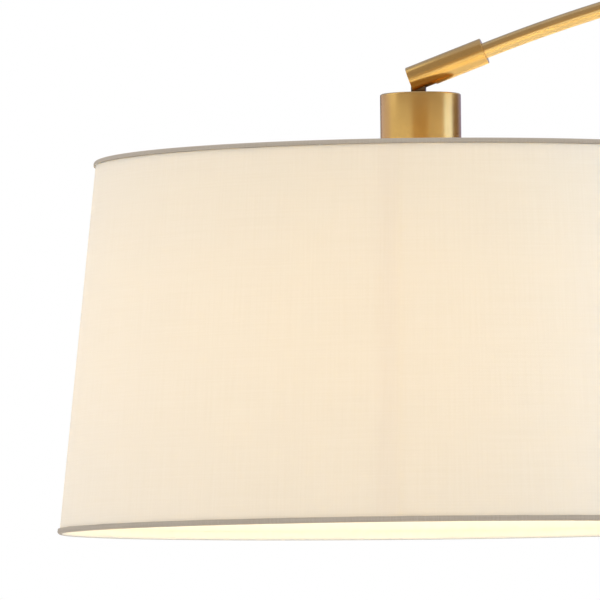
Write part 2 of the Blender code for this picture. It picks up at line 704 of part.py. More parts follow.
# ------------------------------------------------------------------ shade head
def make_tongue(axis, paint):
    """The lower half of the knuckle: a flat eye on a narrow flange, with a hollow stud below it."""
    half, eye, flange = TONGUE_HALF_THICKNESS, -TONGUE_OFFSET, -FLANGE_OFFSET
    flange_bottom, flange_top = CUP_TOP + GAP, CUP_TOP + FLANGE_HEIGHT
    overlap = 0.0005
    stud = disc_profile(TONGUE_STUD_RADIUS, STUD_BOTTOM, flange_bottom + overlap)
    tongue = turned("knuckle_tongue", stud, paint["brass"], axis)
    base = ((0, flange, flange_bottom), (0, flange, flange_top), FLANGE_RADIUS)
    combine(tongue, rods(base, sides=MEDIUM), "UNION")
    low, high = (-half, eye - TONGUE_RADIUS, flange_top - overlap), (half, eye + TONGUE_RADIUS, 0)
    combine(tongue, block(low, high), "UNION")
    combine(tongue, rods(((-half, eye, 0), (half, eye, 0), TONGUE_RADIUS), sides=MEDIUM), "UNION")
    flat, far = SLOT_HALF_WIDTH - GAP, 2 * FLANGE_RADIUS
    for x_low, x_high in ((-far, -flat), (flat, far)):
        combine(tongue, block((x_low, -far, flange_bottom - overlap), (x_high, far, far)))
    combine(tongue, rods(((-2 * half, eye, 0), (2 * half, eye, 0), PIVOT_SCREW_RADIUS + GAP)))
    stud_bore, entry_radius, exit_radius, entry_height = 0.0018, 0.0014, 0.0018, -0.0056
    combine(tongue, rods(((0, 0, STUD_BOTTOM - 0.001), (0, 0, entry_height), stud_bore)))
    combine(tongue, rods(((0, 0, entry_height), (0, far, entry_height), entry_radius)))
    combine(tongue, rods(((-far, 0, LEAD_EXIT), (far, 0, LEAD_EXIT), exit_radius)))


def make_cup(axis, paint):
    """The brass cup, clamped under the tongue's flange by a washer and a nut."""
    bottom = HUB_TOP + GAP
    stud_hole = TONGUE_STUD_RADIUS + GAP
    profile = [
        (CUP_RADIUS, bottom),
        *arc_points(CUP_RADIUS - CUP_CORNER, CUP_TOP - CUP_CORNER, CUP_CORNER, 0, 90, 3),
        (stud_hole, CUP_TOP),
        (stud_hole, CUP_TOP - CUP_WALL),
        (CUP_RADIUS - CUP_WALL, CUP_TOP - CUP_WALL),
        (CUP_RADIUS - CUP_WALL, bottom),
    ]
    turned("socket_cup", profile, paint["brass"], axis, sides=FINE)
    washer_top = CUP_TOP - CUP_WALL - GAP
    nut_top = washer_top - 0.0010 - GAP
    washer = ring_profile(stud_hole, 0.0090, washer_top - 0.0010, washer_top)
    turned("cup_washer", washer, paint["steel"], axis)
    hex_nut("cup_nut", 0.0140, stud_hole, nut_top - 0.0035, nut_top, paint["steel"], axis)


def make_socket(axis, paint):
    """The lamp holder: body, screw shell, centre contact, terminals with their leads, and clamping ring."""
    stud_hole = TONGUE_STUD_RADIUS + GAP
    body = [
        (0, STUD_BOTTOM - GAP),
        (stud_hole, STUD_BOTTOM - GAP),
        (stud_hole, SOCKET_TOP),
        (SOCKET_RADIUS, SOCKET_TOP),
        (SOCKET_RADIUS, SOCKET_MOUTH),
        (SOCKET_BORE, SOCKET_MOUTH),
        (SOCKET_BORE, SOCKET_FLOOR),
        (0, SOCKET_FLOOR),
    ]
    turned("socket_body", body, paint["phenolic"], axis)
    shell_outer = SOCKET_BORE - GAP
    shell = ring_profile(shell_outer - 0.0005, shell_outer, SOCKET_MOUTH + 0.0020, SOCKET_FLOOR - 0.0020)
    turned("screw_shell", shell, paint["brass"], axis)
    contact = disc_profile(0.0040, SOCKET_FLOOR - GAP - 0.0010, SOCKET_FLOOR - GAP)
    turned("centre_contact", contact, paint["brass"], axis, COARSE)

    head_bottom, terminal_reach = SOCKET_TOP + GAP, 0.0140
    terminal = disc_profile(0.0026, head_bottom, head_bottom + 0.0018)
    for name, side, colour in (("line", 1, "black lead"), ("neutral", -1, "white lead")):
        place = (side * terminal_reach, 0, 0)
        turned(f"terminal_screw_{name}", terminal, paint["brass"], axis, COARSE, place)
        route = [
            (side * 0.0008, 0, CUP_TOP - 0.0010),
            (side * 0.0008, 0, CUP_TOP - 0.0085),
            (side * 0.0018, 0, LEAD_EXIT + 0.0004),
            (side * 0.0060, 0, LEAD_EXIT),
            (side * 0.0112, 0, LEAD_EXIT),
            (side * terminal_reach, 0, head_bottom + 0.0032),
        ]
        lead(f"socket_lead_{name}", smooth_route(route, 0.002), LEAD_CORE_RADIUS, paint[colour], axis)
    ring_top = HUB_TOP - HUB_THICKNESS - GAP
    ring = ring_profile(SOCKET_RADIUS + GAP, 0.0245, ring_top - 0.0088, ring_top, 0.0008)
    turned("socket_ring", ring, paint["phenolic"], axis)


def make_bulb(axis, paint):
    """An LED lamp: screw base, housing, LED board and opal globe."""
    tip = HUB_TOP + 0.0020
    shoulder = SOCKET_MOUTH - 0.0008
    base = [
        (0, tip),
        (0.0045, tip),
        (0.0045, tip - 0.0020),
        (0.0110, tip - 0.0050),
        (BULB_NECK_RADIUS, tip - 0.0050),
        (BULB_NECK_RADIUS, shoulder),
        (0, shoulder),
    ]
    turned("bulb_base", base, paint["steel"], axis)

    rim_radius, rim = BULB_RADIUS - 0.002, HUB_TOP - BULB_BELOW_HUB
    housing_wall = 0.0014
    outer = [
        (BULB_NECK_RADIUS, shoulder - GAP),
        (0.0158, shoulder - 0.0060),
        (0.0222, shoulder - 0.0180),
        (rim_radius, rim),
    ]
    inner = [(radius - housing_wall, height) for radius, height in reversed(outer)]
    turned("bulb_housing", outer + inner, paint["plastic"], axis)
    board = disc_profile(rim_radius - 0.0018, rim - 0.0018, rim - GAP)
    turned("led_board", board, paint["plastic"], axis)

    middle = rim - 0.0193
    skins = []
    for wall in (0, 0.0012):
        radius = BULB_RADIUS - wall
        dome = arc_points(0, middle, radius, 0, -90, 5)
        dome[-1] = (0, middle - radius)
        skins.append([(rim_radius - wall, rim - GAP), (radius - 0.0005, rim - 0.0083), *dome])
    outside, inside = skins
    turned("bulb_globe", [*reversed(inside), *outside], paint["opal"], axis)


def wall_radius(height):
    """The radius of the fabric's outer face at a height."""
    return SHADE_TOP_RADIUS - HEM_THICKNESS - GAP + SHADE_SLOPE * (SHADE_TOP - height)


def conical_shell(name, offset, thickness, top, bottom, material, axis):
    outside = [(wall_radius(height) - offset, height) for height in (top, bottom)]
    inside = [(radius - thickness, height) for radius, height in reversed(outside)]
    turned(name, outside + inside, material, axis, sides=SHADE_SIDES)


def make_hem(name, edge, inwards, paint, axis):
    """A hem folded round a ring wire.

    Inwards is the way from its edge into the shade: -1 at the top, 1 at the bottom. Returns the hem, and the
    radius and height of the ring wire's centre.
    """
    height = edge + inwards * (HEM_THICKNESS + GAP + RING_WIRE_RADIUS)
    stack = (FABRIC_THICKNESS + GAP + LINER_THICKNESS) / 2
    radius = wall_radius(height) - stack
    inner_roll, leg_gap = RING_WIRE_RADIUS + GAP, stack + GAP
    outer_roll = inner_roll + HEM_THICKNESS

    def leg_end(offset, reach):
        down = -inwards * reach
        return (radius + offset + SHADE_SLOPE * down, height - down)

    def roll(size, start, end):
        return arc_points(radius, height, size, -inwards * start, -inwards * end, 4)

    profile = [
        leg_end(leg_gap + HEM_THICKNESS, HEM_OUTER_LEG - outer_roll),
        *roll(outer_roll, 0, 180),
        leg_end(-leg_gap - HEM_THICKNESS, HEM_INNER_LEG - outer_roll),
        leg_end(-leg_gap, HEM_INNER_LEG - outer_roll),
        *roll(inner_roll, 180, 0),
        leg_end(leg_gap, HEM_OUTER_LEG - outer_roll),
    ]
    hem = turned(name, profile, paint["linen"], axis, sides=SHADE_SIDES)
    return hem, radius, height


def make_ring(name, radius, height, paint, axis):
    profile = arc_points(radius, height, RING_WIRE_RADIUS, 0, 300, 5)
    turned(name, profile, paint["steel"], axis, sides=SHADE_SIDES)


def make_fitter(top_hem, ring_radius, ring_height, paint, axis):
    """The hub on the socket and three spokes up to the top ring, each through a notch in the hem."""
    middle = HUB_TOP - HUB_THICKNESS / 2
    hub = ring_profile(SOCKET_RADIUS + GAP, HUB_RADIUS, HUB_TOP - HUB_THICKNESS, HUB_TOP)
    turned("fitter_hub", hub, paint["steel"], axis)
    reach = ring_radius - RING_WIRE_RADIUS - GAP
    rise_start, rise_end = 0.150, 0.164
    notches = []
    for number in (1, 2, 3):
        angle = 2 * math.pi * (number - 1) / 3
        out = Vector((math.cos(angle), math.sin(angle), 0))
        stations = (
            (HUB_RADIUS + GAP, middle),
            (0.090, middle),
            (rise_start, middle),
            (rise_end, ring_height),
            (reach, ring_height),
        )
        route = [out * radius + Vector((0, 0, height)) for radius, height in stations]
        lead(f"fitter_spoke_{number}", smooth_route(route, 0.015), SPOKE_RADIUS, paint["steel"], axis)
        lift = Vector((0, 0, ring_height))
        notches.append((out * (reach - 0.006) + lift, out * (reach + GAP) + lift, SPOKE_RADIUS + GAP))
    combine(top_hem, rods(*notches))


def make_shade(axis, paint):
    """Linen on a styrene liner, rolled at both edges over a ring wire, hung from the fitter."""
    top_hem, top_radius, top_height = make_hem("top_hem", SHADE_TOP, -1, paint, axis)
    _, low_radius, low_height = make_hem("bottom_hem", SHADE_BOTTOM, 1, paint, axis)
    make_ring("top_ring_wire", top_radius, top_height, paint, axis)
    make_ring("bottom_ring_wire", low_radius, low_height, paint, axis)
    top = top_height - RING_WIRE_RADIUS - GAP
    bottom = low_height + RING_WIRE_RADIUS + GAP
    conical_shell("shade_fabric", 0, FABRIC_THICKNESS, top, bottom, paint["linen"], axis)
    conical_shell("shade_liner", FABRIC_THICKNESS + GAP, LINER_THICKNESS, top, bottom, paint["liner"], axis)
    make_fitter(top_hem, top_radius, top_height, paint, axis)


def main():
    for old in list(bpy.data.objects):
        bpy.data.objects.remove(old)
    paint = make_materials()
    make_wall_bracket(paint)
    swing_axis = add_axis("swing_axis", location=(0, -SWING_OFFSET, 0))
    make_barrel(swing_axis, paint)
    make_foot(swing_axis, paint)
    make_retainers(swing_axis, paint)
    make_arm(swing_axis, paint)
    sleeve_axis = add_axis("sleeve_axis", swing_axis, TILT_PIVOT, rotation=(DROOP - math.pi / 2, 0, 0))
    make_sleeve(sleeve_axis, paint)
    tilt_axis = add_axis("tilt_axis", swing_axis, TILT_PIVOT)
    head_axis = add_axis("head_axis", tilt_axis, location=(0, TONGUE_OFFSET, 0))
    make_tongue(head_axis, paint)
    make_cup(head_axis, paint)
    make_socket(head_axis, paint)
    make_bulb(head_axis, paint)
    shade_axis = add_axis("shade_axis", head_axis, rotation=(0, 0, SHADE_TURN))
    make_shade(shade_axis, paint)


main()
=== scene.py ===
"""Looks for a swing arm wall sconce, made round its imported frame.

Finely turned brass, a linen drum shade on a styrene liner, and a lit lamp. Everything is in metres in the
frame's own axes: the wall is Y = 0, the room is on its -Y side, and +Z is up.
"""
import json
import math

import bmesh
import bpy
from mathutils import Matrix, Vector, noise


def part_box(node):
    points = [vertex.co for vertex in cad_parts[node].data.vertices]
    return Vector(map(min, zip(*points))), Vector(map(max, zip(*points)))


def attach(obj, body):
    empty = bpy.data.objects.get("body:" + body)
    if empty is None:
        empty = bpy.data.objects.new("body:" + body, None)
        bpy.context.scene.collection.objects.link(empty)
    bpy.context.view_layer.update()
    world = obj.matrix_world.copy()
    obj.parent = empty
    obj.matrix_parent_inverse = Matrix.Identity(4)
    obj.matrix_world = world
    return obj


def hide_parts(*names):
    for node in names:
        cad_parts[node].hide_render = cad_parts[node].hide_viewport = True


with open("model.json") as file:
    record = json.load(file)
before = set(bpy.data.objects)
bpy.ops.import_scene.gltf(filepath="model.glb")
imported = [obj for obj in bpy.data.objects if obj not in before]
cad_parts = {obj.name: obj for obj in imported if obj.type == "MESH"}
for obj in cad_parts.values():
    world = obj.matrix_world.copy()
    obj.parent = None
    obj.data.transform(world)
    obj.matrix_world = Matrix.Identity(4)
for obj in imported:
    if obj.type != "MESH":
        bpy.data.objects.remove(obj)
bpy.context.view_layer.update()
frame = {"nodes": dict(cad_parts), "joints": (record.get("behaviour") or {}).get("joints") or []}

BOXES = {name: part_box(name) for name in frame["nodes"]}

# ---------- driving dimensions, in metres
GAP = 0.0003
ROUND = 96  # sides of a turned piece
FINE_THREAD = (0.0010, 0.0005)  # pitch and depth, on the stem and the switch
LAMP_THREAD = (0.00363, 0.0009)  # the same, on the screw shell and the lamp's base
PLATE_WALL = 0.0015
SWITCH_HOLE = 0.0053
TILT = next(Vector(j["pos_m"]) for j in frame["joints"] if j["name"] == "shade_tilt")
SWING = next(Vector(j["pos_m"]) for j in frame["joints"] if j["name"] == "arm_swing")
SWITCH = next(Vector(j["pos_m"]) for j in frame["joints"] if j["name"] == "switch_turn")

# The arm: a straight foot, a bend and a long flat arch that ends DROOP below the horizontal
DROOP = math.radians(20.5)
JOIN_SLOPE = math.radians(12.0)
STRAIGHT_TOP = 0.1277
BEND_RADIUS = 0.260
ARCH_RADIUS = 0.9038
ARM_INSERTION = 0.0200
SLEEVE_LENGTH = 0.0446
SLEEVE_TAIL = 0.0051
SLOT_DEPTH = 0.0133
SLOT_ROOF = 0.0050
SLOT_HALF_WIDTH = 0.0035

# The shade and its fitter
SHADE_SLOPE = (0.2034 - 0.1812) / 0.206
SHADE_TOP = BOXES["top_hem"][1].z
CLOTH_TOP_RADIUS = 0.1804  # of the linen's outer face, carried up to the top edge
CLOTH_STACK = 0.0007  # half of the linen, the liner and the gap between them
RING_WIRE_RADIUS = 0.0008
SPOKE_RADIUS = 0.0011
CLOTH_OVERLAP = 0.012
CLOTH_INSET = 0.0003  # of the linen's middle, and of the liner's, from the linen's outer face
LINER_INSET = 0.0011
CLOTH_TUCK = 0.0005  # how far the linen's hidden end lies in from the rest
SHEET_COLUMNS = 192
SHEET_EDGE = math.radians(3.25)  # where the linen's free edge is, about the shade's axis
HEM_THICKNESS = 0.0005
HEM_OUTER_LEGS = {"top_hem": 0.0025, "bottom_hem": 0.0030}
HEM_INNER_LEG = 0.0045
HEM_COLUMNS = 480
HEM_WAVE = 0.10  # unevenness of a hem's edge, as a share of its depth
HUB_RADIUS = 0.0250
SPOKE_TURN = math.radians(-10.5)
SPOKE_RISE = (0.150, 0.164)

# The lamp's light, and two helpers for what the liner throws up and down: name, rise above the globe's
# centre, watts
LAMP_GLOWS = (("lamp", 0.012, 0.60), ("glow_above", 0.085, 1.85), ("glow_below", -0.075, 0.65))
LAMP_COLOUR = (1.0, 0.80, 0.44)
LAMP_RADIUS = 0.028
WEAVE_PITCH = (0.00052, 0.00058)  # across and up

# The camera, from the shade's axis
CAMERA_TURN = math.radians(7.0)
CAMERA_DISTANCE = 5.357
CAMERA_HEIGHT = -0.05357
CAMERA_LENS = 581.3
CAMERA_CLIP = (0.1, 200)
CAMERA_FORWARD = Vector((-0.989744, -0.134283, 0.04872139))
CAMERA_UP = Vector((0.0468824, 0.0168257, 0.9987587))

FLOOR_HEIGHT = -0.6
FLOOR_REACH = 60.0
CARD_DISTANCE = 3.0
CARD_STEPS = 24
FILL_SIZE = 0.4
FILL_DISTANCE = 1.0


def middle(node):
    low, high = BOXES[node]
    return (low + high) / 2


def half_width(node):
    low, high = BOXES[node]
    return (high.x - low.x) / 2


HEAD = Vector((0, middle("socket_cup").y, 0))  # on the axis of the cup, lamp and shade


# ---------- mesh helpers
def new_object(name, data):
    made = bpy.data.objects.new(name, data)
    bpy.context.scene.collection.objects.link(made)
    return made


def add_piece(name, mesh, material, body, place=None, replaced=()):
    """A piece of the object, placed in the frame's axes, that rides on a body."""
    mesh.materials.append(material)
    piece = new_object(name, mesh)
    piece.matrix_world = place or Matrix.Identity(4)
    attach(piece, body)
    if replaced:
        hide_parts(*replaced)
    return piece


def as_mesh(shape, name):
    mesh = bpy.data.meshes.new(name)
    shape.to_mesh(mesh)
    shape.free()
    return mesh


def finished(shape, name, sharp=40):
    bmesh.ops.recalc_face_normals(shape, faces=shape.faces)
    mesh = as_mesh(shape, name)
    mesh.shade_smooth()
    mesh.set_sharp_from_angle(angle=math.radians(sharp))
    return mesh


def rounded(corners, steps=4):
    """A closed outline through (radius, height, size) corners, each rounded to its size if it has one."""
    outline = []
    for index, (x, y, size) in enumerate(corners):
        corner = Vector((x, y))
        if not size:
            outline.append(corner)
            continue
        to_last = Vector(corners[index - 1][:2]) - corner
        to_next = Vector(corners[(index + 1) % len(corners)][:2]) - corner
        half = to_last.angle(to_next) / 2
        reach = min(size / math.tan(half), 0.48 * to_last.length, 0.48 * to_next.length)
        to_last.normalize()
        to_next.normalize()
        centre = corner + (to_last + to_next).normalized() * (reach / math.cos(half))
        start = corner + to_last * reach - centre
        end = corner + to_next * reach - centre
        size = start.length
        outline += [centre + size * start.lerp(end, step / steps).normalized() for step in range(steps + 1)]
    return outline


def revolved(name, outline, sides=ROUND, relief=None):
    """A mesh turned about Z from (radius, height) points, with UVs in metres: round it, then along it.

    Relief gives a point's rise from its angle, radius and height. The outline closes on itself, unless
    both of its ends lie on the axis.
    """
    shape = bmesh.new()
    uv = shape.loops.layers.uv.new("UVMap")
    rings = []
    for radius, height in outline:
        if radius < 1e-7:
            rings.append([shape.verts.new((0, 0, height))])
            continue
        ring = []
        for side in range(sides):
            angle = 2 * math.pi * side / sides
            size = radius + (relief(angle, radius, height) if relief else 0)
            ring.append(shape.verts.new((size * math.cos(angle), size * math.sin(angle), height)))
        rings.append(ring)
    outline = [Vector(point) for point in outline]
    if len(rings[0]) > 1 or len(rings[-1]) > 1:
        rings.append(rings[0])
        outline.append(outline[0])
    spacing = 2 * math.pi * max(point.x for point in outline) / sides
    run = 0.0
    for row, (near, far) in enumerate(zip(rings, rings[1:])):
        reach = run + (outline[row + 1] - outline[row]).length
        for side in range(sides):
            corners = {}
            quad = ((near, side, run), (near, side + 1, run), (far, side + 1, reach), (far, side, reach))
            for ring, turn, length in quad:
                corners[ring[turn % len(ring)]] = (spacing * turn, length)
            if len(corners) > 2:
                face = shape.faces.new(corners)
                for loop, place in zip(face.loops, corners.values()):
                    loop[uv].uv = place
        run = reach
    return finished(shape, name)


def level(angle):
    """A level direction, at an angle about the vertical."""
    return Vector((math.cos(angle), math.sin(angle), 0))


def upright(centre):
    return Matrix.Translation(centre)


def out_of_wall(centre):
    """A place whose Z axis points out of the wall."""
    return Matrix.Translation(centre) @ Matrix.Rotation(math.pi / 2, 4, "X")


def ring_corners(inner, outer, low, high, size):
    return [(inner, low, size), (outer, low, size), (outer, high, size), (inner, high, size)]


def along(start, end, spacing):
    """Points from one (radius, height) point to another, this far apart."""
    start, end = Vector(start), Vector(end)
    steps = max(1, round((end - start).length / spacing))
    return [start.lerp(end, step / steps) for step in range(steps + 1)]


def fine_side(radius, low, high, spacing):
    """Corners up a wall, close enough for relief to shape it."""
    return [(*point, 0) for point in along((radius, low), (radius, high), spacing)]


def groove(radius, height):
    """A fine V groove round a wall, from a height upwards."""
    points = ((0, 0), (0.0004, 0.0004), (0, 0.0008))
    return [(radius - deep, height + up, 0.0002) for deep, up in points]


def thread(pitch, depth, low, high, radius):
    """Relief of a rounded helical thread on the wall at a radius, fading out at its ends."""

    def rise(angle, at_radius, height):
        if abs(at_radius - radius) > 1e-5 or not low <= height <= high:
            return 0
        fade = min(1, (height - low) / pitch, (high - height) / pitch)
        return -depth * fade * (0.5 - 0.5 * math.cos(2 * math.pi * height / pitch + angle))

    return rise


def knurl(count, depth, low, high, radius):
    """Relief of straight knurling on the wall at a radius."""

    def rise(angle, at_radius, height):
        if abs(at_radius - radius) > 1e-5 or not low < height < high:
            return 0
        return -depth * (0.5 - 0.5 * math.cos(count * angle))

    return rise


def swept(name, route, radius, sides=48):
    """A round tube along points in a plane of constant X, with UVs in metres: round it, then along it."""
    sideways = Vector((1, 0, 0))
    shape = bmesh.new()
    uv = shape.loops.layers.uv.new("UVMap")
    loops, lengths = [], [0.0]
    for place, before, after in zip(route, [route[0], *route], [*route[1:], route[-1]]):
        across = (after - before).normalized().cross(sideways)
        ring = []
        for side in range(sides):
            angle = 2 * math.pi * side / sides
            spread = math.cos(angle) * sideways + math.sin(angle) * across
            ring.append(shape.verts.new(place + radius * spread))
        loops.append(ring)
        lengths.append(lengths[-1] + (after - place).length)
    for row, (near, far) in enumerate(zip(loops, loops[1:])):
        for side in range(sides):
            after = (side + 1) % sides
            face = shape.faces.new((near[side], near[after], far[after], far[side]))
            around = [side, side + 1, side + 1, side]
            run = [lengths[row], lengths[row], lengths[row + 1], lengths[row + 1]]
            for corner, turn, length in zip(face.loops, around, run):
                corner[uv].uv = (2 * math.pi * radius * turn / sides, length)
    shape.faces.new(reversed(loops[0]))
    shape.faces.new(loops[-1])
    return finished(shape, name, 60)


def cut(piece, *cutters):
    """Cuts closed meshes, given in the piece's own coordinates, out of the piece."""
    for number, mesh in enumerate(cutters):
        cutter = new_object(f"{piece.name}_cutter_{number}", mesh)
        cutter.matrix_world = piece.matrix_world
        modifier = piece.modifiers.new("cut", "BOOLEAN")
        modifier.object = cutter
    bpy.context.view_layer.update()
    evaluated = piece.evaluated_get(bpy.context.evaluated_depsgraph_get())
    mesh = bpy.data.meshes.new_from_object(evaluated)
    mesh.set_sharp_from_angle(angle=math.radians(30))
    for modifier in list(piece.modifiers):
        bpy.data.objects.remove(modifier.object)
    piece.modifiers.clear()
    piece.data = mesh


def block(low, high):
    low, high = Vector(low), Vector(high)
    shape = bmesh.new()
    place = Matrix.Translation((low + high) / 2) @ Matrix.Diagonal((*(high - low), 1))
    bmesh.ops.create_cube(shape, size=1, matrix=place)
    return finished(shape, "block")


def rod(start, end, radius, sides=32):
    start, end = Vector(start), Vector(end)
    shape = bmesh.new()
    turn = (end - start).to_track_quat("Z", "Y").to_matrix().to_4x4()
    place = Matrix.Translation((start + end) / 2) @ turn
    size = {"radius1": radius, "radius2": radius, "depth": (end - start).length}
    bmesh.ops.create_cone(shape, cap_ends=True, segments=sides, matrix=place, **size)
    return finished(shape, "rod")


# ---------- material helpers
def node(tree, kind, inputs=None, **settings):
    """A new shader node, its settings made and its inputs linked to a socket or set to a value."""
    made = tree.nodes.new("ShaderNode" + kind)
    for key, value in settings.items():
        setattr(made, key, value)
    for key, value in (inputs or {}).items():
        if isinstance(value, bpy.types.NodeSocket):
            tree.links.new(value, made.inputs[key])
        else:
            made.inputs[key].default_value = value
    return made


def new_material(name, **values):
    """A material's node tree and its Principled shader, with plain values set on the shader."""
    material = bpy.data.materials.new(name)
    material.use_nodes = True
    shader = material.node_tree.nodes["Principled BSDF"]
    for key, value in values.items():
        socket = shader.inputs[key.replace("_", " ")]
        socket.default_value = (*value, 1) if isinstance(value, tuple) else value
    return material, material.node_tree, shader


def coordinates(tree, kind="Object", stretch=(1, 1, 1)):
    place = node(tree, "TexCoord").outputs[kind]
    return node(tree, "Mapping", {"Vector": place, "Scale": stretch}).outputs[0]


def grain(tree, scale, detail=3.0, place=None):
    values = {"Vector": place or coordinates(tree), "Scale": scale, "Detail": detail, "Roughness": 0.6}
    return node(tree, "TexNoise", values).outputs[0]


def blend(tree, share, low, high):
    """A colour between two, or a number between two where they are numbers, by a share from 0.35 to 0.65."""
    if isinstance(low, tuple):
        ramp = node(tree, "ValToRGB", {"Fac": share})
        ramp.color_ramp.elements[0].position = 0.35
        ramp.color_ramp.elements[0].color = (*low, 1)
        ramp.color_ramp.elements[1].position = 0.65
        ramp.color_ramp.elements[1].color = (*high, 1)
        return ramp.outputs[0]
    values = {"Value": share, "From Min": 0.35, "From Max": 0.65, "To Min": low, "To Max": high}
    return node(tree, "MapRange", values).outputs[0]


def feed(tree, shader, **sources):
    for key, source in sources.items():
        tree.links.new(source, shader.inputs[key.replace("_", " ")])


def bump(tree, height, distance, strength=1.0):
    return node(tree, "Bump", {"Height": height, "Distance": distance, "Strength": strength}).outputs[0]


def mix_in(tree, share, shader, other):
    """Puts a share of another shader in place of the first one."""
    mixed = node(tree, "MixShader", {0: share, 1: shader.outputs[0], 2: other.outputs[0]})
    tree.links.new(mixed.outputs[0], tree.nodes["Material Output"].inputs["Surface"])


# ---------- materials
def make_brass(name, kind="Object", stretch=(90, 90, 5200), tone=(0.76, 0.485, 0.163), gloss=(0.20, 0.27)):
    """Lacquered satin brass. The stretch makes its brushing fine across the lines and long along them."""
    material, tree, shader = new_material(name, Metallic=1.0, Coat_Weight=0.08, Coat_Roughness=0.08)
    lines = grain(tree, 1.0, 4.0, coordinates(tree, kind, stretch))
    clouds = grain(tree, 55.0, 2.0, coordinates(tree, kind))
    low, high = (tuple(part * share for part in tone) for share in (0.96, 1.04))
    feed(tree, shader, Base_Color=blend(tree, clouds, low, high), Roughness=blend(tree, lines, *gloss))
    if kind == "Object":
        feed(tree, shader, Normal=bump(tree, lines, 0.00002, 0.10))
        shader.inputs["Anisotropic"].default_value = 0.3
        feed(tree, shader, Tangent=node(tree, "Tangent", direction_type="RADIAL", axis="Z").outputs[0])
    return material


def make_steel():
    """Zinc plated steel, dulled in cloudy patches."""
    material, tree, shader = new_material("steel", Metallic=1.0)
    clouds = grain(tree, 160.0, 4.0)
    colour = blend(tree, clouds, (0.50, 0.51, 0.53), (0.66, 0.66, 0.65))
    feed(tree, shader, Base_Color=colour, Roughness=blend(tree, clouds, 0.42, 0.26))
    feed(tree, shader, Normal=bump(tree, grain(tree, 2500.0), 0.00002, 0.4))
    return material


def make_moulded(name, low, high, roughness, **values):
    """A moulded plastic: slight colour variation and a fine spark-eroded surface."""
    material, tree, shader = new_material(name, **values)
    clouds = grain(tree, 70.0)
    fine = grain(tree, 900.0)
    feed(tree, shader, Base_Color=blend(tree, clouds, low, high))
    feed(tree, shader, Roughness=blend(tree, fine, roughness - 0.06, roughness + 0.06))
    feed(tree, shader, Normal=bump(tree, fine, 0.00004, 0.4))
    return material


def make_weave(tree):
    """(height, thread tone) of a plain weave on UVs in metres, with slubs in both directions."""

    def work(operation, *values):
        made = node(tree, "Math", operation=operation)
        for socket, value in zip(made.inputs, values):
            if isinstance(value, bpy.types.NodeSocket):
                tree.links.new(value, socket)
            else:
                socket.default_value = value
        return made.outputs[0]

    parts = node(tree, "SeparateXYZ", {"Vector": node(tree, "TexCoord").outputs["UV"]})
    across, up = (work("DIVIDE", parts.outputs[part], WEAVE_PITCH[part]) for part in (0, 1))
    waves = [work("SINE", work("MULTIPLY", way, math.pi)) for way in (across, up)]
    warp, weft = (work("ABSOLUTE", wave) for wave in waves)
    cells = work("ADD", work("FLOOR", across), work("FLOOR", up))
    over = work("PINGPONG", cells, 1.0)
    crossing = node(tree, "Mix", {"Factor": over, "A": warp, "B": weft}, data_type="FLOAT").outputs[0]
    upright_slubs = grain(tree, 1.0, 2.0, coordinates(tree, "UV", (900, 22, 1)))
    level_slubs = grain(tree, 1.0, 2.0, coordinates(tree, "UV", (18, 1100, 1)))
    slubs = work("MULTIPLY", work("ADD", upright_slubs, level_slubs), 0.5)
    height = work("ADD", crossing, work("MULTIPLY", slubs, 1.5))
    return height, slubs


def make_linen():
    """Ivory linen that lets some of the lamp's light through."""
    values = {"Sheen_Weight": 0.10, "Sheen_Roughness": 0.5, "Specular_IOR_Level": 0.15}
    material, tree, shader = new_material("linen", Roughness=0.9, **values)
    height, slubs = make_weave(tree)
    face = blend(tree, slubs, (0.788, 0.756, 0.675), (0.808, 0.778, 0.705))
    relief = bump(tree, height, 0.00018, 0.25)
    feed(tree, shader, Base_Color=face, Normal=relief)
    glow = blend(tree, slubs, (0.93, 0.77, 0.55), (0.96, 0.81, 0.60))
    mix_in(tree, 0.20, shader, node(tree, "BsdfTranslucent", {"Color": glow}))
    return material


def make_hem_cloth():
    """The same linen doubled over and glued down, so that no light comes through, and painted darker as
    painted shade.
    """
    values = {"Sheen_Weight": 0.08, "Specular_IOR_Level": 0.15}
    material, tree, shader = new_material("hem linen with painted shade", Roughness=0.92, **values)
    height, slubs = make_weave(tree)
    # painted shade: a colour much darker than the linen's own, for the dark band along the rolled edge
    colour = blend(tree, slubs, (0.440, 0.375, 0.305), (0.520, 0.455, 0.380))
    feed(tree, shader, Base_Color=colour, Normal=bump(tree, height, 0.00018, 0.5))
    return material


def make_liner():
    """White styrene sheet behind the linen, seen from inside the shade."""
    material, tree, shader = new_material("liner", Roughness=0.5)
    fine = grain(tree, 260.0)
    face = blend(tree, fine, (0.85, 0.84, 0.80), (0.88, 0.87, 0.83))
    feed(tree, shader, Base_Color=face, Normal=bump(tree, fine, 0.00010, 0.3))
    mix_in(tree, 0.20, shader, node(tree, "BsdfTranslucent", {"Color": (0.92, 0.84, 0.70, 1)}))
    return material


def make_opal():
    """The lit globe of the lamp."""
    values = {"Emission_Color": (1.0, 0.83, 0.62), "Emission_Strength": 3.0}
    material, tree, shader = new_material("opal", Roughness=0.35, **values)
    clouds = grain(tree, 40.0, 2.0)
    feed(tree, shader, Base_Color=blend(tree, clouds, (0.88, 0.86, 0.80), (0.93, 0.91, 0.86)))
    return material


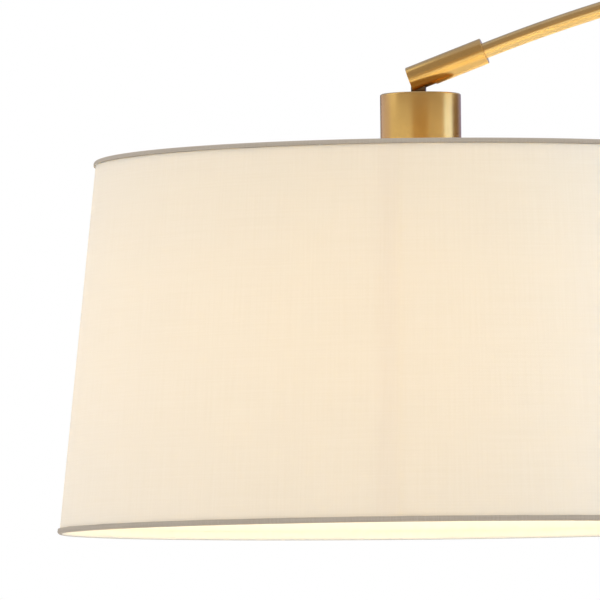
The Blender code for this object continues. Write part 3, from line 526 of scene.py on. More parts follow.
BRASS = make_brass("brass turned")
# The arm tube's brass tone is lighter than the turned brass's: painted reflection, brightening the band it
# mirrors from the lit shade.
BRASS_TUBE_BRIGHTENED = make_brass("brass tube", "UV", (400, 4, 1), (0.80, 0.545, 0.215), (0.20, 0.22))
# A nearly black copy of the brass: painted shade for the knuckle's eye, which sits in shadow between the
# sleeve and the cup.
BRASS_PAINTED_SHADE = make_brass("brass darkened as painted shade", tone=(0.13, 0.080, 0.035))
STEEL = make_steel()
PHENOLIC = make_moulded("phenolic", (0.018, 0.017, 0.016), (0.035, 0.032, 0.029), 0.42)
PLASTIC = make_moulded("white plastic", (0.80, 0.80, 0.77), (0.86, 0.86, 0.83), 0.40)
NYLON = make_moulded("nylon", (0.74, 0.71, 0.62), (0.82, 0.79, 0.71), 0.48, Subsurface_Weight=0.1)
BLACK_LEAD = make_moulded("black insulation", (0.016, 0.016, 0.017), (0.030, 0.030, 0.031), 0.45)
WHITE_LEAD = make_moulded("white insulation", (0.74, 0.74, 0.71), (0.82, 0.82, 0.79), 0.45)
GREEN_LEAD = make_moulded("green insulation", (0.020, 0.24, 0.060), (0.035, 0.33, 0.090), 0.45)
LINEN = make_linen()
SHADED_HEM_CLOTH = make_hem_cloth()
LINER = make_liner()
OPAL = make_opal()


def turned(name, corners, body, material=BRASS, place=None, replaced=None, slot="brass", steps=4, **shape):
    """A piece turned from rounded corners. It stands for the CAD node of its name, unless told otherwise."""
    mesh = revolved(name, rounded(corners, steps), **shape)
    replaced = [name] if replaced is None else replaced
    return add_piece(f"{name}_fine", mesh, material, body, place, replaced)


# ---------- wall bracket; local Z is out of the wall
def depth_of(node):
    """How far a node on the wall reaches into the room: (nearest, farthest)."""
    low, high = BOXES[node]
    return -high.y, -low.y


def make_backplate():
    radius, ring = half_width("backplate"), 0.0535
    _, depth = depth_of("backplate")
    inside = depth - PLATE_WALL
    corners = [
        (SWITCH_HOLE, inside, 0.0002), (SWITCH_HOLE, depth, 0.0003), (ring, depth, 0.0002),
        (ring + 0.0004, depth - 0.0004, 0.0002), (ring + 0.0008, depth, 0.0002),
        (radius, depth, 0.0034), (radius, 0, 0.0004), (radius - PLATE_WALL, 0, 0.0004),
        (radius - PLATE_WALL, inside, 0.0020),
    ]
    plate = turned("backplate", corners, "wall", place=out_of_wall(Vector()), sides=144)
    holes = [(middle(f"cap_nut_{side}").x, 0, 0.0023) for side in ("left", "right")]
    holes.append((0, SWITCH.z, SWITCH_HOLE))
    cut(plate, *[rod((x, y, inside - 0.001), (x, y, depth + 0.001), size) for x, y, size in holes])


def make_cap_nuts():
    """Two acorn nuts, each with a thin flange."""
    bore, neck, roof = 0.0023, 0.0048, 0.0070
    for name in ("cap_nut_left", "cap_nut_right"):
        base, end = depth_of(name)
        top = end - base
        corners = [
            (0, roof, 0),
            (bore, roof, 0),
            (bore, 0, 0),
            (half_width(name), 0, 0.0003),
            (half_width(name), 0.0014, 0.0005),
            (neck, 0.0018, 0.0004),
            (neck, top, 0.0046),
            (0, top, 0),
        ]
        turned(name, corners, "wall", place=out_of_wall((middle(name).x, -base, 0)))


def make_stem():
    """The stem from the backplate to the swing barrel, and its threaded tail behind the plate."""
    radius, thread_radius, tenon, bore = half_width("wall_stem"), 0.0050, 0.0045, 0.0030
    tail, tip = depth_of("wall_stem")
    base, _ = depth_of("cap_nut_left")
    threads = fine_side(thread_radius, tail + 0.0004, base, 0.0002)
    corners = [
        (bore, tail, 0), (thread_radius - 0.0004, tail, 0), *threads, (radius, base, 0.0003),
        *groove(radius, base + 0.0030), (radius, tip, 0), (bore, tip, 0),
    ]
    relief = thread(*FINE_THREAD, tail + 0.0004, base - 0.0005, thread_radius)
    stem = turned("wall_stem", corners, "wall", place=out_of_wall(Vector()), relief=relief)
    reach = half_width("swing_barrel") + GAP
    axis = -SWING.y
    cut(stem, rod((0, -0.03, axis), (0, 0.03, axis), reach, 96))
    floor = axis - reach - 0.0010
    corners = [(bore, floor, 0), (tenon, floor, 0), (tenon, tip, 0.0003), (bore, tip, 0.0003)]
    turned("stem_tenon", corners, "wall", place=out_of_wall(Vector()), replaced=[])


def make_switch():
    """A canopy switch: its body behind the plate, a knurled nut outside and a knurled knob."""
    inside = depth_of("backplate")[1] - PLATE_WALL - GAP
    back, front = depth_of("switch_body")
    radius, bushing, bore = half_width("switch_body"), 0.0050, 0.0020
    place = out_of_wall((SWITCH.x, 0, SWITCH.z))
    threads = fine_side(bushing, inside, front - 0.0003, 0.0002)
    corners = [
        (0, back, 0), (radius, back, 0.0008), *groove(radius, back + 0.0050), (radius, inside, 0.0004),
        *threads, (bushing - 0.0004, front, 0), (bore, front, 0), (bore, 0.0100, 0), (0, 0.0100, 0),
    ]
    relief = thread(*FINE_THREAD, inside + 0.0005, front - 0.0003, bushing)
    turned("switch_body", corners, "wall", PHENOLIC, place, slot="phenolic", relief=relief)

    low, high = depth_of("switch_nut")
    rim = half_width("switch_nut")
    walls = fine_side(rim, low + 0.0003, high - 0.0003, 0.0003)
    corners = [
        (SWITCH_HOLE, low, 0), (rim - 0.0003, low, 0), *walls, (rim - 0.0003, high, 0),
        (SWITCH_HOLE, high, 0.0003),
    ]
    turned("switch_nut", corners, "wall", place=place, sides=240, relief=knurl(60, 0.0003, low, high, rim))

    low, high = depth_of("switch_knob")
    rim, hollow = half_width("switch_knob"), 0.0056
    grip = (low + 0.0020, high - 0.0040)
    walls = fine_side(rim, *grip, 0.0006)
    corners = [
        (0, 0.0353, 0), (0.0020, 0.0353, 0), (0.0020, 0.0278, 0), (hollow, 0.0278, 0),
        (hollow, low, 0.0002), (rim, low, 0.0003), *walls, (rim, high - 0.0010, 0.0008),
        (rim - 0.0013, high, 0.0006), (0, high - 0.0003, 0),
    ]
    relief = knurl(48, 0.0003, grip[0] + 0.0001, grip[1] - 0.0001, rim)
    turned("switch_knob", corners, "knob", place=place, sides=240, relief=relief)


def make_connectors():
    """Twist-on wire connectors: ribbed shells, wider at the mouth."""
    mouth, cavity = 0.0020, 0.0100
    for name in ("wire_connector_line", "wire_connector_neutral"):
        low, high = BOXES[name]
        length = high.z - low.z
        rib_end = -0.80 * length
        side = [(0.0056 - 0.0014 * step / 24, -length * 0.82 * step / 24) for step in range(25)]
        corners = [
            (0, -cavity, 0),
            (mouth, -cavity, 0),
            (mouth, 0, 0.0003),
            *[(radius, height, 0) for radius, height in side],
            (0.0034, -length, 0.0012),
            (0, -length, 0),
        ]

        def ribs(angle, radius, height):
            ribbed = rib_end < height < -mouth and radius > mouth
            return -0.0006 * (0.5 - 0.5 * math.cos(14 * angle)) if ribbed else 0

        place = upright((middle(name).x, middle(name).y, high.z))
        turned(name, corners, "wall", PLASTIC, place, slot="plastic", sides=112, relief=ribs)


# ---------- swing pivot and arm
def make_swing_pivot():
    place = upright(SWING)
    low, high = BOXES["swing_barrel"]
    radius, bore, band = half_width("swing_barrel"), 0.0062, 0.0030
    corners = [
        (bore, low.z, 0.0003), (radius, low.z, 0.0008), *groove(radius, low.z + band),
        *groove(radius, high.z - band - 0.0008), (radius, high.z, 0.0008), (bore, high.z, 0.0003),
    ]
    barrel = turned("swing_barrel", corners, "wall", place=place)
    cut(barrel, rod((0, 0, 0), (0, 2 * radius, 0), 0.0048))
    for name in ("thrust_washer", "fibre_washer"):
        low, high = BOXES[name]
        corners = ring_corners(bore, half_width(name), low.z, high.z, 0.0003)
        turned(name, corners, "wall", NYLON, place, slot="nylon")

    low, high = BOXES["pivot_cap"]
    rim, shell, floor = half_width("pivot_cap"), 0.0091, low.z + 0.0055
    corners = [
        (0, low.z, 0), (0.0022, low.z, 0.0014), (0.0030, low.z + 0.0010, 0.0006),
        (0.0080, low.z + 0.0022, 0.0030), (rim, low.z + 0.0052, 0.0026), (rim, high.z, 0.0004),
        (shell, high.z, 0.0002), (shell, floor, 0), (0, floor, 0),
    ]
    turned("pivot_cap", corners, "arm", place=place)


def make_foot():
    """The arm's foot above the barrel, and the pin through it."""
    low, high = BOXES["arm_foot"]
    radius, pin, bore, arm_hole = half_width("arm_foot"), 0.0058, 0.0030, half_width("arm_tube") + GAP
    shoulder, seat = BOXES["thrust_washer"][1].z + GAP, high.z - ARM_INSERTION - GAP
    corners = [
        (0, low.z, 0), (pin, low.z, 0.0004), (pin, shoulder, 0), (radius, shoulder, 0.0004),
        (radius, high.z, 0.0005), (arm_hole, high.z, 0.0003), (arm_hole, seat, 0), (bore, seat, 0),
        (bore, -0.0065, 0), (0, -0.0065, 0),
    ]
    foot = turned("arm_foot", corners, "arm", place=upright(SWING))
    screw = middle("foot_set_screw") - SWING
    cut(foot, rod((0, bore, screw.z), (0, 2 * radius, screw.z), 0.0016))
    make_set_screw("foot_set_screw", Matrix.Rotation(-math.pi / 2, 4, "X"), SWING + Vector((0, 0, screw.z)))


def make_set_screw(name, turn, centre):
    """A headless screw with a hexagon socket. Its local Z points out of the piece that it is in."""
    radius, length = 0.0013, 0.0022
    inner = half_width("arm_tube") + 2 * GAP
    outer = inner + length
    corners = [(0, inner, 0), (radius, inner, 0.0002), (radius, outer, 0.0003), (0, outer, 0)]
    place = Matrix.Translation(centre) @ turn
    screw = turned(name, corners, "arm", STEEL, place, slot="steel", sides=32)
    cut(screw, rod((0, 0, outer - 0.0010), (0, 0, outer + 0.0010), 0.0007, sides=6))


def on_arc(centre, radius, slope):
    return centre + radius * Vector((0, math.sin(slope), math.cos(slope)))


def arm_route():
    """The arm tube's centreline, from the foot to inside the sleeve."""
    bend = SWING + Vector((0, -BEND_RADIUS, STRAIGHT_TOP))
    arch = on_arc(bend, BEND_RADIUS - ARCH_RADIUS, JOIN_SLOPE)
    route = [Vector((0, SWING.y, BOXES["arm_tube"][0].z)), Vector((0, SWING.y, STRAIGHT_TOP - 0.002))]
    for step in range(64):
        route.append(on_arc(bend, BEND_RADIUS, math.pi / 2 + (JOIN_SLOPE - math.pi / 2) * step / 64))
    for step in range(81):
        route.append(on_arc(arch, ARCH_RADIUS, JOIN_SLOPE - (JOIN_SLOPE + DROOP) * step / 80))
    direction = Vector((0, math.cos(DROOP), math.sin(DROOP)))
    return [*route, route[-1] - ARM_INSERTION * direction]


def make_arm():
    mesh = swept("arm_tube", arm_route(), half_width("arm_tube"))
    # the tube's lighter brass tone is a painted reflection
    add_piece("arm_tube_fine", mesh, BRASS_TUBE_BRIGHTENED, "arm", replaced=["arm_tube"])


# ---------- knuckle; local Z runs up the sleeve
def make_sleeve():
    """The slotted sleeve on the arm's end, with its pivot screw and its set screw."""
    radius, lead_hole, arm_hole = half_width("knuckle_sleeve"), 0.0028, half_width("arm_tube") + GAP
    top, bottom, slot_end = SLEEVE_LENGTH - SLEEVE_TAIL, -SLEEVE_TAIL, SLOT_DEPTH - SLEEVE_TAIL
    seat = top - ARM_INSERTION - GAP
    corners = [
        (lead_hole, bottom, 0.0003), (radius, bottom, 0.0004), (radius, top, 0.0004),
        (arm_hole, top, 0.0003), (arm_hole, seat, 0), (lead_hole, seat, 0),
    ]
    place = Matrix.Translation(TILT) @ Matrix.Rotation(DROOP - math.pi / 2, 4, "X")
    sleeve = turned("knuckle_sleeve", corners, "arm", place=place)
    outside, screw_height = radius + 0.001, top - 0.0095
    head_low, head_high = 0.0058, radius - GAP
    slot = block((-SLOT_HALF_WIDTH, -SLOT_ROOF, -outside), (SLOT_HALF_WIDTH, outside, slot_end))
    pivot = rod((-outside, 0, 0), (0.0057, 0, 0), 0.0021)
    counterbore = rod((-outside, 0, 0), (-head_low + GAP, 0, 0), 0.0033)
    set_hole = rod((-outside, 0, screw_height), (-0.003, 0, screw_height), 0.0016)
    cut(sleeve, slot, pivot, counterbore, set_hole)

    corners = [
        (0, -0.0054, 0), (0.0018, -0.0054, 0.0003), (0.0018, head_low, 0), (0.0030, head_low, 0.0001),
        (0.0030, head_high, 0.0004), (0, head_high, 0),
    ]
    sideways = Matrix.Rotation(-math.pi / 2, 4, "Y")
    screw = turned("knuckle_screw", corners, "arm", place=place @ sideways, sides=64)
    cut(screw, block((-0.0035, -0.0004, head_high - 0.0006), (0.0035, 0.0004, head_high + 0.001)))
    centre = place @ Vector((0, 0, screw_height))
    turn = place.to_3x3().to_4x4() @ sideways
    make_set_screw("sleeve_set_screw", turn, centre)


def make_tongue():
    """The flat eye in the sleeve's slot, and the round flange and hollow stud below it."""
    low, high = BOXES["knuckle_tongue"]
    half, radius, hole, flange = 0.0024, high.z - TILT.z, 0.0021, 0.0044
    cup_top = BOXES["socket_cup"][1].z
    flange_low, flange_high = cup_top + GAP - TILT.z, cup_top + 0.0012 - TILT.z
    shape = bmesh.new()
    outline = [(-radius, flange_high - 0.0003), (radius, flange_high - 0.0003)]
    turns = [math.pi * step / 32 for step in range(33)]
    outline += [(radius * math.cos(a), radius * math.sin(a)) for a in turns]
    face = shape.faces.new([shape.verts.new((-half, y, z)) for y, z in outline])
    made = bmesh.ops.extrude_face_region(shape, geom=[face])["geom"]
    moved = [element for element in made if isinstance(element, bmesh.types.BMVert)]
    bmesh.ops.translate(shape, verts=moved, vec=(2 * half, 0, 0))
    bmesh.ops.recalc_face_normals(shape, faces=shape.faces)
    rims = [edge for edge in shape.edges if abs(edge.verts[0].co.x - edge.verts[1].co.x) < 1e-6]
    bmesh.ops.bevel(shape, geom=rims, offset=0.0003, segments=3, profile=0.5, affect="EDGES")
    mesh, replaced = finished(shape, "eye"), ["knuckle_tongue"]
    # The eye takes the nearly black brass: painted shade for the shadow between the sleeve and the cup.
    eye = add_piece("knuckle_eye", mesh, BRASS_PAINTED_SHADE, "shade", upright(TILT), replaced)
    lead_hole = rod((0, 0, -0.0056), (0, 2 * radius, -0.0056), 0.0014)
    cut(eye, rod((-2 * half, 0, 0), (2 * half, 0, 0), hole), lead_hole)

    stud, bore, bottom = 0.0030, 0.0018, low.z - TILT.z
    top = flange_low + 0.0002
    corners = [(bore, bottom, 0.0002), (stud, bottom, 0.0003), (stud, top, 0), (bore, top, 0)]
    turned("knuckle_stud", corners, "shade", place=upright((0, HEAD.y, TILT.z)), replaced=[])
    corners = ring_corners(bore, flange, flange_low, flange_high, 0.0003)
    place = upright((0, HEAD.y - 0.0004, TILT.z))
    collar = turned("knuckle_collar", corners, "shade", place=place, replaced=[])
    flat, far = SLOT_HALF_WIDTH - GAP, 2 * flange
    cut(collar, *[block((side * flat, -far, -far), (side * far, far, far)) for side in (-1, 1)])


def make_cup():
    low, high = BOXES["socket_cup"]
    radius, wall, hole = half_width("socket_cup"), 0.0012, 0.0035
    corners = [
        (hole, high.z, 0.0003), (radius, high.z, 0.0010), (radius, low.z, 0.0003),
        (radius - wall, low.z, 0.0003), (radius - wall, high.z - wall, 0.0008),
        (hole, high.z - wall, 0),
    ]
    turned("socket_cup", corners, "shade", place=upright(HEAD), sides=160)


# ---------- lamp holder and lamp, at frame heights
def make_socket():
    low, high = BOXES["socket_body"]
    radius, bore, stud_hole = half_width("socket_body"), 0.0150, 0.0033
    floor, seat, stud_seat = BOXES["fitter_hub"][1].z + 0.0043, high.z, BOXES["knuckle_tongue"][0].z - GAP
    ring_low, ring_high = BOXES["socket_ring"][0].z, BOXES["socket_ring"][1].z
    threads = fine_side(radius, ring_low - 0.0030, ring_high, 0.0003)
    corners = [
        (0, stud_seat, 0), (0, floor, 0), (bore, floor, 0.0004), (bore, low.z, 0.0004),
        (radius, low.z, 0.0006), *threads, (radius, seat, 0.0008), (stud_hole, seat, 0.0003),
        (stud_hole, stud_seat, 0),
    ]
    place = upright(HEAD)
    relief = thread(0.0024, 0.0006, ring_low - 0.0030, ring_high, radius)
    turned("socket_body", corners, "shade", PHENOLIC, place, slot="phenolic", relief=relief)

    rim, inner = half_width("socket_ring"), radius + GAP
    walls = fine_side(rim, ring_low + 0.0010, ring_high - 0.0010, 0.0008)
    corners = [(inner, ring_low, 0.0003), (rim - 0.0006, ring_low, 0.0004), *walls]
    corners += [(rim - 0.0006, ring_high, 0.0004), (inner, ring_high, 0.0003)]
    grips = knurl(36, 0.0006, ring_low + 0.0012, ring_high - 0.0012, rim)
    turned("socket_ring", corners, "shade", PHENOLIC, place, slot="phenolic", sides=180, relief=grips)

    low, high = BOXES["screw_shell"]
    outer, wall = half_width("screw_shell"), 0.0005
    outside = along((outer, low.z), (outer, high.z), 0.0003)
    inside = along((outer - wall, high.z), (outer - wall, low.z), 0.0003)

    def turns(angle, at_radius, height):
        return thread(*LAMP_THREAD, low.z, high.z, at_radius)(angle, at_radius, height)

    shell = revolved("screw_shell", [*inside, *outside], relief=turns)
    add_piece("screw_shell_fine", shell, BRASS, "shade", place, ["screw_shell"])


def make_lamp():
    """An LED lamp: its threaded base, plain housing and opal globe."""
    place = upright(HEAD)
    low, high = BOXES["bulb_base"]
    radius, top = half_width("bulb_base"), high.z - 0.0050
    walls = fine_side(radius, low.z + 0.0010, top - 0.0006, 0.0003)
    corners = [
        (0, low.z, 0), (radius, low.z, 0.0003), *walls, (radius - 0.0008, top, 0.0006),
        (0.0090, top + 0.0018, 0.0008), (0.0045, high.z - 0.0018, 0.0003), (0.0042, high.z, 0.0008),
        (0, high.z, 0),
    ]
    relief = thread(*LAMP_THREAD, low.z + 0.0010, top - 0.0006, radius)
    turned("bulb_base", corners, "shade", STEEL, place, slot="steel", relief=relief)

    low, high = BOXES["bulb_housing"]
    rim, neck, wall = half_width("bulb_housing"), radius, 0.0014
    sides = [(neck, high.z), (0.0158, high.z - 0.0060), (0.0222, high.z - 0.0180), (rim, low.z)]
    outside = [(*sides[0], 0.0004), (*sides[1], 0.0050), (*sides[2], 0.0200), (*sides[3], 0.0003)]
    inside = [(size - wall, height, curve) for size, height, curve in reversed(outside)]
    turned("bulb_housing", [*outside, *inside], "shade", PLASTIC, place, slot="plastic", steps=8)

    low, high = BOXES["bulb_globe"]
    wall, size, seat = 0.0012, half_width("bulb_globe"), high.z
    centre = low.z + size
    skins = []
    for skin in (0, wall):
        dome = [math.radians(90 * step / 24) for step in range(25)]
        curve = [((size - skin) * math.cos(a), centre - (size - skin) * math.sin(a)) for a in dome]
        curve[-1] = (0, centre - size + skin)
        skins.append([(rim - skin, seat), (size - skin - 0.0005, seat - 0.0083), *curve])
    outside, inside = skins
    globe = revolved("bulb_globe", [*reversed(inside), *outside])
    globe = add_piece("bulb_globe_fine", globe, OPAL, "shade", place, ["bulb_globe"])

    lamps = []
    for name, rise, power in LAMP_GLOWS:
        light = bpy.data.lights.new(name, "POINT")
        light.energy, light.shadow_soft_size, light.color = power, LAMP_RADIUS, LAMP_COLOUR
        lamp = new_object(name, light)
        lamp.location = (HEAD.x, HEAD.y, centre + rise)
        lamp.visible_camera = lamp.visible_glossy = False
        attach(lamp, "shade")
        lamps.append(lamp)
    return lamps, globe


# ---------- shade and its fitter
def wall_radius(height):
    """The radius of the linen's outer face at a height."""
    return CLOTH_TOP_RADIUS + SHADE_SLOPE * (SHADE_TOP - height)


def rolled_sheet(name, inset, overlap, rows):
    """A sheet rolled into a cone with one end tucked under the other, with UVs in metres."""
    low, high = BOXES["shade_fabric"][0].z, BOXES["shade_fabric"][1].z
    slant = math.hypot(high - low, SHADE_SLOPE * (high - low))
    mean = wall_radius((low + high) / 2)
    lap, ramp, tuck = overlap / mean, 1.4 * CLOTH_OVERLAP / mean, CLOTH_TUCK if overlap else 0
    spread = 2 * math.pi + lap
    shape = bmesh.new()
    uv = shape.loops.layers.uv.new("UVMap")
    columns = []
    for column in range(SHEET_COLUMNS + (1 if overlap else 0)):
        turn = spread * column / SHEET_COLUMNS
        tucked = tuck * min(1, max(0, (turn - 2 * math.pi + ramp) / ramp))
        angle = SHEET_EDGE - turn
        points = []
        for row in range(rows + 1):
            height = low + (high - low) * row / rows
            radius = wall_radius(height) - inset - tucked
            points.append(shape.verts.new((radius * math.cos(angle), radius * math.sin(angle), height)))
        columns.append(points)
    if not overlap:
        columns.append(columns[0])
    for column, (near, far) in enumerate(zip(columns, columns[1:])):
        for row in range(rows):
            face = shape.faces.new((far[row], near[row], near[row + 1], far[row + 1]))
            for loop, across, up in zip(face.loops, (1, 0, 0, 1), (0, 0, 1, 1)):
                loop[uv].uv = (mean * spread * (column + across) / SHEET_COLUMNS, slant * (row + up) / rows)
    mesh = as_mesh(shape, name)
    mesh.shade_smooth()
    return mesh, slant


def hem_profile(node, inwards):
    """A folded band's outline round its ring wire, and the radius and height of the wire's centre."""
    low, high = BOXES[node]
    edge = low.z if inwards > 0 else high.z
    height = edge + inwards * (HEM_THICKNESS + GAP + RING_WIRE_RADIUS)
    radius = wall_radius(height) - CLOTH_STACK
    inner_roll, leg_gap = RING_WIRE_RADIUS + GAP, CLOTH_STACK + GAP
    outer_roll = inner_roll + HEM_THICKNESS

    def leg_end(offset, reach):
        return (radius + offset - SHADE_SLOPE * inwards * reach, height + inwards * reach)

    def roll(size, start, end):
        angles = [math.radians(start + (end - start) * step / 12) for step in range(13)]
        return [(radius + size * math.cos(a), height - inwards * size * math.sin(a)) for a in angles]

    outer_leg, inner_leg = HEM_OUTER_LEGS[node] - outer_roll, HEM_INNER_LEG - outer_roll
    outline = [
        leg_end(leg_gap + HEM_THICKNESS, outer_leg), leg_end(leg_gap + HEM_THICKNESS, outer_leg * 0.5),
        *roll(outer_roll, 0, 180), leg_end(-leg_gap - HEM_THICKNESS, inner_leg),
        leg_end(-leg_gap, inner_leg), *roll(inner_roll, 180, 0), leg_end(leg_gap, outer_leg * 0.5),
        leg_end(leg_gap, outer_leg),
    ]
    return outline, radius, height


def make_hem(node, inwards):
    """A hem of doubled linen, a little uneven along its edges, folded round a ring wire."""
    outline, radius, height = hem_profile(node, inwards)
    band = revolved(node, outline, sides=HEM_COLUMNS)
    for vertex in band.vertices:
        out, up = math.hypot(vertex.co.x, vertex.co.y), inwards * (vertex.co.z - height)
        around = level(math.atan2(vertex.co.y, vertex.co.x))
        wave = noise.noise(9 * around + Vector((0, 0, height))) + 0.6 * noise.noise(31 * around)
        if up > 0:
            vertex.co.z += inwards * up * HEM_WAVE * wave
        elif out > radius:
            vertex.co -= around * 0.00012 * max(0, noise.noise(40 * around))
    # The hem's outer faces are painted darker than the linen as painted shade; the faces turned inward take
    # the liner's white.
    hem = add_piece(f"{node}_fine", band, SHADED_HEM_CLOTH, "shade", upright(HEAD), [node])
    band.materials.append(LINER)
    for face in band.polygons:
        if face.normal.xy.dot(face.center.xy.normalized()) < -0.5:
            face.material_index = 1
    wire, angles = RING_WIRE_RADIUS, [math.pi * step / 8 for step in range(16)]
    section = [(radius + wire * math.cos(a), height + wire * math.sin(a)) for a in angles]
    mesh = revolved(node, section, sides=HEM_COLUMNS)
    name = node.replace("hem", "ring_wire")
    wire_piece = add_piece(f"{name}_fine", mesh, STEEL, "shade", upright(HEAD), [name])
    return hem, wire_piece, radius - RING_WIRE_RADIUS, height


def bent_route(stations, bend):
    """Points along (y, z) stations, the corners between them rounded."""
    stations = [Vector((0, *station)) for station in stations]
    points = [stations[0]]
    for before, corner, after in zip(stations, stations[1:], stations[2:]):
        back, on = before - corner, after - corner
        reach = min(bend, 0.45 * back.length, 0.45 * on.length)
        start, end = corner + back.normalized() * reach, corner + on.normalized() * reach
        for step in range(9):
            share = step / 8
            points.append(start.lerp(corner, share).lerp(corner.lerp(end, share), share))
    return [*points, stations[-1]]


def make_fitter(top_hem, reach, ring_height):
    """The stamped hub on the socket, and three wire spokes up to the top ring."""
    low, high = BOXES["fitter_hub"]
    inner, middle_height = half_width("socket_body") + GAP, (low.z + high.z) / 2
    corners = ring_corners(inner, HUB_RADIUS, low.z, high.z, 0.0004)
    turned("fitter_hub", corners, "shade", STEEL, upright(HEAD), slot="steel")
    stations = [
        (HUB_RADIUS + GAP, middle_height), (0.090, middle_height), (SPOKE_RISE[0], middle_height),
        (SPOKE_RISE[1], ring_height), (reach - GAP, ring_height),
    ]
    route = bent_route(stations, 0.010)
    notches = []
    for number in (1, 2, 3):
        angle = SPOKE_TURN + 2 * math.pi * (number - 1) / 3
        turn = Matrix.Rotation(angle - math.pi / 2, 4, "Z")
        mesh = swept("spoke", route, SPOKE_RADIUS, sides=16)
        name = f"fitter_spoke_{number}"
        add_piece(f"{name}_fine", mesh, STEEL, "shade", upright(HEAD) @ turn, [name])
        start, end = Vector((0, reach - 0.0060, ring_height)), Vector((0, reach + GAP, ring_height))
        notches.append(rod(turn @ start, turn @ end, SPOKE_RADIUS + GAP))
    cut(top_hem, *notches)


def make_shade():
    """Linen on a styrene liner, its edges rolled round ring wires, carried by the fitter."""
    bottom_hem, bottom_wire, _, _ = make_hem("bottom_hem", 1)
    top_hem, top_wire, reach, ring_height = make_hem("top_hem", -1)
    make_fitter(top_hem, reach, ring_height)
    liner, _ = rolled_sheet("shade_liner", LINER_INSET, 0, 4)
    liner = add_piece("shade_liner_fine", liner, LINER, "shade", upright(HEAD), ["shade_liner"])
    cloth, slant = rolled_sheet("shade_fabric", CLOTH_INSET, CLOTH_OVERLAP, 8)
    cloth = add_piece("shade_fabric_fine", cloth, LINEN, "shade", upright(HEAD), ["shade_fabric"])
    return cloth, liner, top_hem, bottom_hem


def let_light_through(lamps, *pieces):
    """The lamp lights the linen from inside, so these pieces cast no shadow from it."""
    passed = bpy.data.collections.new("passed by the lamp")
    for piece in pieces:
        passed.objects.link(piece)
    for entry in passed.collection_objects:
        entry.light_linking.link_state = "EXCLUDE"
    for lamp in lamps:
        lamp.light_linking.blocker_collection = passed


# ---------- pieces that keep their own shape
def dress_plain_pieces():
    """Every imported piece still shown in its own shape gets the material that its slot is named for."""
    dressing = {"brass": BRASS, "steel": STEEL, "phenolic": PHENOLIC, "plastic": PLASTIC, "nylon": NYLON}
    for colour, material in (("black", BLACK_LEAD), ("white", WHITE_LEAD), ("green", GREEN_LEAD)):
        dressing[f"{colour}_insulation"] = material
    for piece in frame["nodes"].values():
        if piece.hide_render:
            continue
        slots = piece.data.materials
        for index, old in enumerate(slots):
            slots[index] = dressing[old.name.split(".")[0]]


# ---------- studio
def make_floor():
    """A wide pale floor, seen only from above."""
    shape = bmesh.new()
    bmesh.ops.create_grid(shape, x_segments=8, y_segments=8, size=FLOOR_REACH)
    floor = new_object("floor", as_mesh(shape, "floor"))
    floor.location = (0, 0, FLOOR_HEIGHT)
    material, tree, shader = new_material("floor", Roughness=0.8)
    clouds = grain(tree, 1.4)
    feed(tree, shader, Base_Color=blend(tree, clouds, (0.86, 0.86, 0.86), (0.88, 0.88, 0.88)))
    back = node(tree, "NewGeometry").outputs["Backfacing"]
    mix_in(tree, back, shader, node(tree, "BsdfTransparent"))
    floor.data.materials.append(material)
    floor.visible_glossy = False


def make_card(name, turn, rise, colour):
    """Part of a sphere of cards round the knuckle, seen only in polished metal.

    Turn is (from, to) about the vertical from the camera's side towards the wall, and rise is (from, to)
    above the horizon, in degrees.
    """
    shape = bmesh.new()
    rows = []
    for up in range(CARD_STEPS + 1):
        rise_here = math.radians(rise[0] + (rise[1] - rise[0]) * up / CARD_STEPS)
        row = []
        for across in range(CARD_STEPS + 1):
            turn_here = CAMERA_TURN + math.radians(turn[0] + (turn[1] - turn[0]) * across / CARD_STEPS)
            out = level(turn_here) * math.cos(rise_here)
            row.append(shape.verts.new(TILT + CARD_DISTANCE * (out + Vector((0, 0, math.sin(rise_here))))))
        rows.append(row)
    for low, high in zip(rows, rows[1:]):
        for left in range(CARD_STEPS):
            shape.faces.new((low[left], low[left + 1], high[left + 1], high[left]))
    card = new_object(name, as_mesh(shape, name))
    values = {"Base_Color": (0.0, 0.0, 0.0), "Emission_Color": colour, "Emission_Strength": 1.0}
    material, _, _ = new_material(name, Roughness=1.0, **values)
    card.data.materials.append(material)
    card.visible_camera = card.visible_diffuse = card.visible_shadow = card.visible_transmission = False


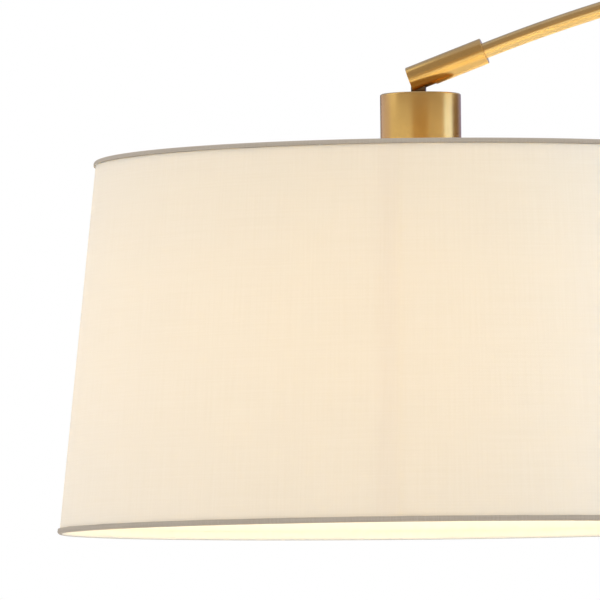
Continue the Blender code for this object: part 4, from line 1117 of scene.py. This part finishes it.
def make_surroundings():
    """A white room, and the cards that the brass mirrors."""
    world = bpy.data.worlds.new("room")
    bpy.context.scene.world = world
    world.use_nodes = True
    world.node_tree.nodes["Background"].inputs["Color"].default_value = (1, 1, 1, 1)
    make_floor()
    low, high = (-4, 10), (10, 62)
    for name, turn, rise, colour in (
        ("card_behind_left", (-180, -154), low, (0.08, 0.07, 0.07)),
        ("card_left", (-154, -98), low, (0.61, 0.56, 0.70)),
        ("card_front_left", (-98, -24), low, (0.77, 0.75, 0.67)),
        ("card_front", (-24, 21), low, (0.52, 0.36, 0.18)),
        ("card_front_right", (21, 71), low, (0.645, 0.58, 0.49)),
        ("softbox", (71, 102), low, (1.25, 1.6, 2.5)),
        ("card_right", (102, 136), low, (0.20, 0.13, 0.07)),
        ("card_behind_right", (136, 180), low, (0.32, 0.32, 0.56)),
        ("card_high", (-75, 75), high, (0.39, 0.34, 0.32)),
        ("card_high_behind", (115, 245), high, (0.44, 0.48, 0.65)),
        ("card_overhead", (-180, 180), (62, 90), (0.50, 0.51, 0.68)),
    ):
        make_card(name, turn, rise, colour)
    bpy.context.scene.view_settings.view_transform = "Standard"
    bpy.context.scene.view_settings.look = "None"


def make_fill(name, turn, power, colour, lit):
    """A soft light at one side of the shade, for one piece only, and never mirrored."""
    light = bpy.data.lights.new(name, "AREA")
    light.energy, light.size, light.color = power, FILL_SIZE, colour
    lamp = new_object(name, light)
    out = level(CAMERA_TURN + math.radians(turn))
    facing = out.to_track_quat("Z", "Y").to_matrix().to_4x4()
    lamp.matrix_world = Matrix.Translation(middle("shade_fabric") + FILL_DISTANCE * out) @ facing
    lamp.visible_glossy = False
    chosen = bpy.data.collections.new(name)
    chosen.objects.link(lit)
    lamp.light_linking.receiver_collection = chosen


def make_camera():
    camera = new_object("camera", bpy.data.cameras.new("camera"))
    right = CAMERA_FORWARD.cross(CAMERA_UP).normalized()
    turn = Matrix((right, right.cross(CAMERA_FORWARD), -CAMERA_FORWARD)).transposed().to_4x4()
    place = HEAD + CAMERA_DISTANCE * level(CAMERA_TURN) + Vector((0, 0, CAMERA_HEIGHT))
    camera.matrix_world = Matrix.Translation(place) @ turn
    camera.data.lens = CAMERA_LENS
    camera.data.clip_start, camera.data.clip_end = CAMERA_CLIP
    bpy.context.scene.camera = camera


make_backplate()
make_cap_nuts()
make_stem()
make_switch()
make_connectors()
make_swing_pivot()
make_foot()
make_arm()
make_sleeve()
make_tongue()
make_cup()
make_socket()
lamps, globe = make_lamp()
cloth, liner, *hems = make_shade()
let_light_through(lamps, globe, cloth, liner, *hems)
dress_plain_pieces()
make_surroundings()
make_fill("fill_left", -95, 1.05, (0.1, 0.45, 1.0), cloth)
make_fill("fill_right", 85, 3.6, (0.1, 0.5, 1.0), cloth)
make_camera()
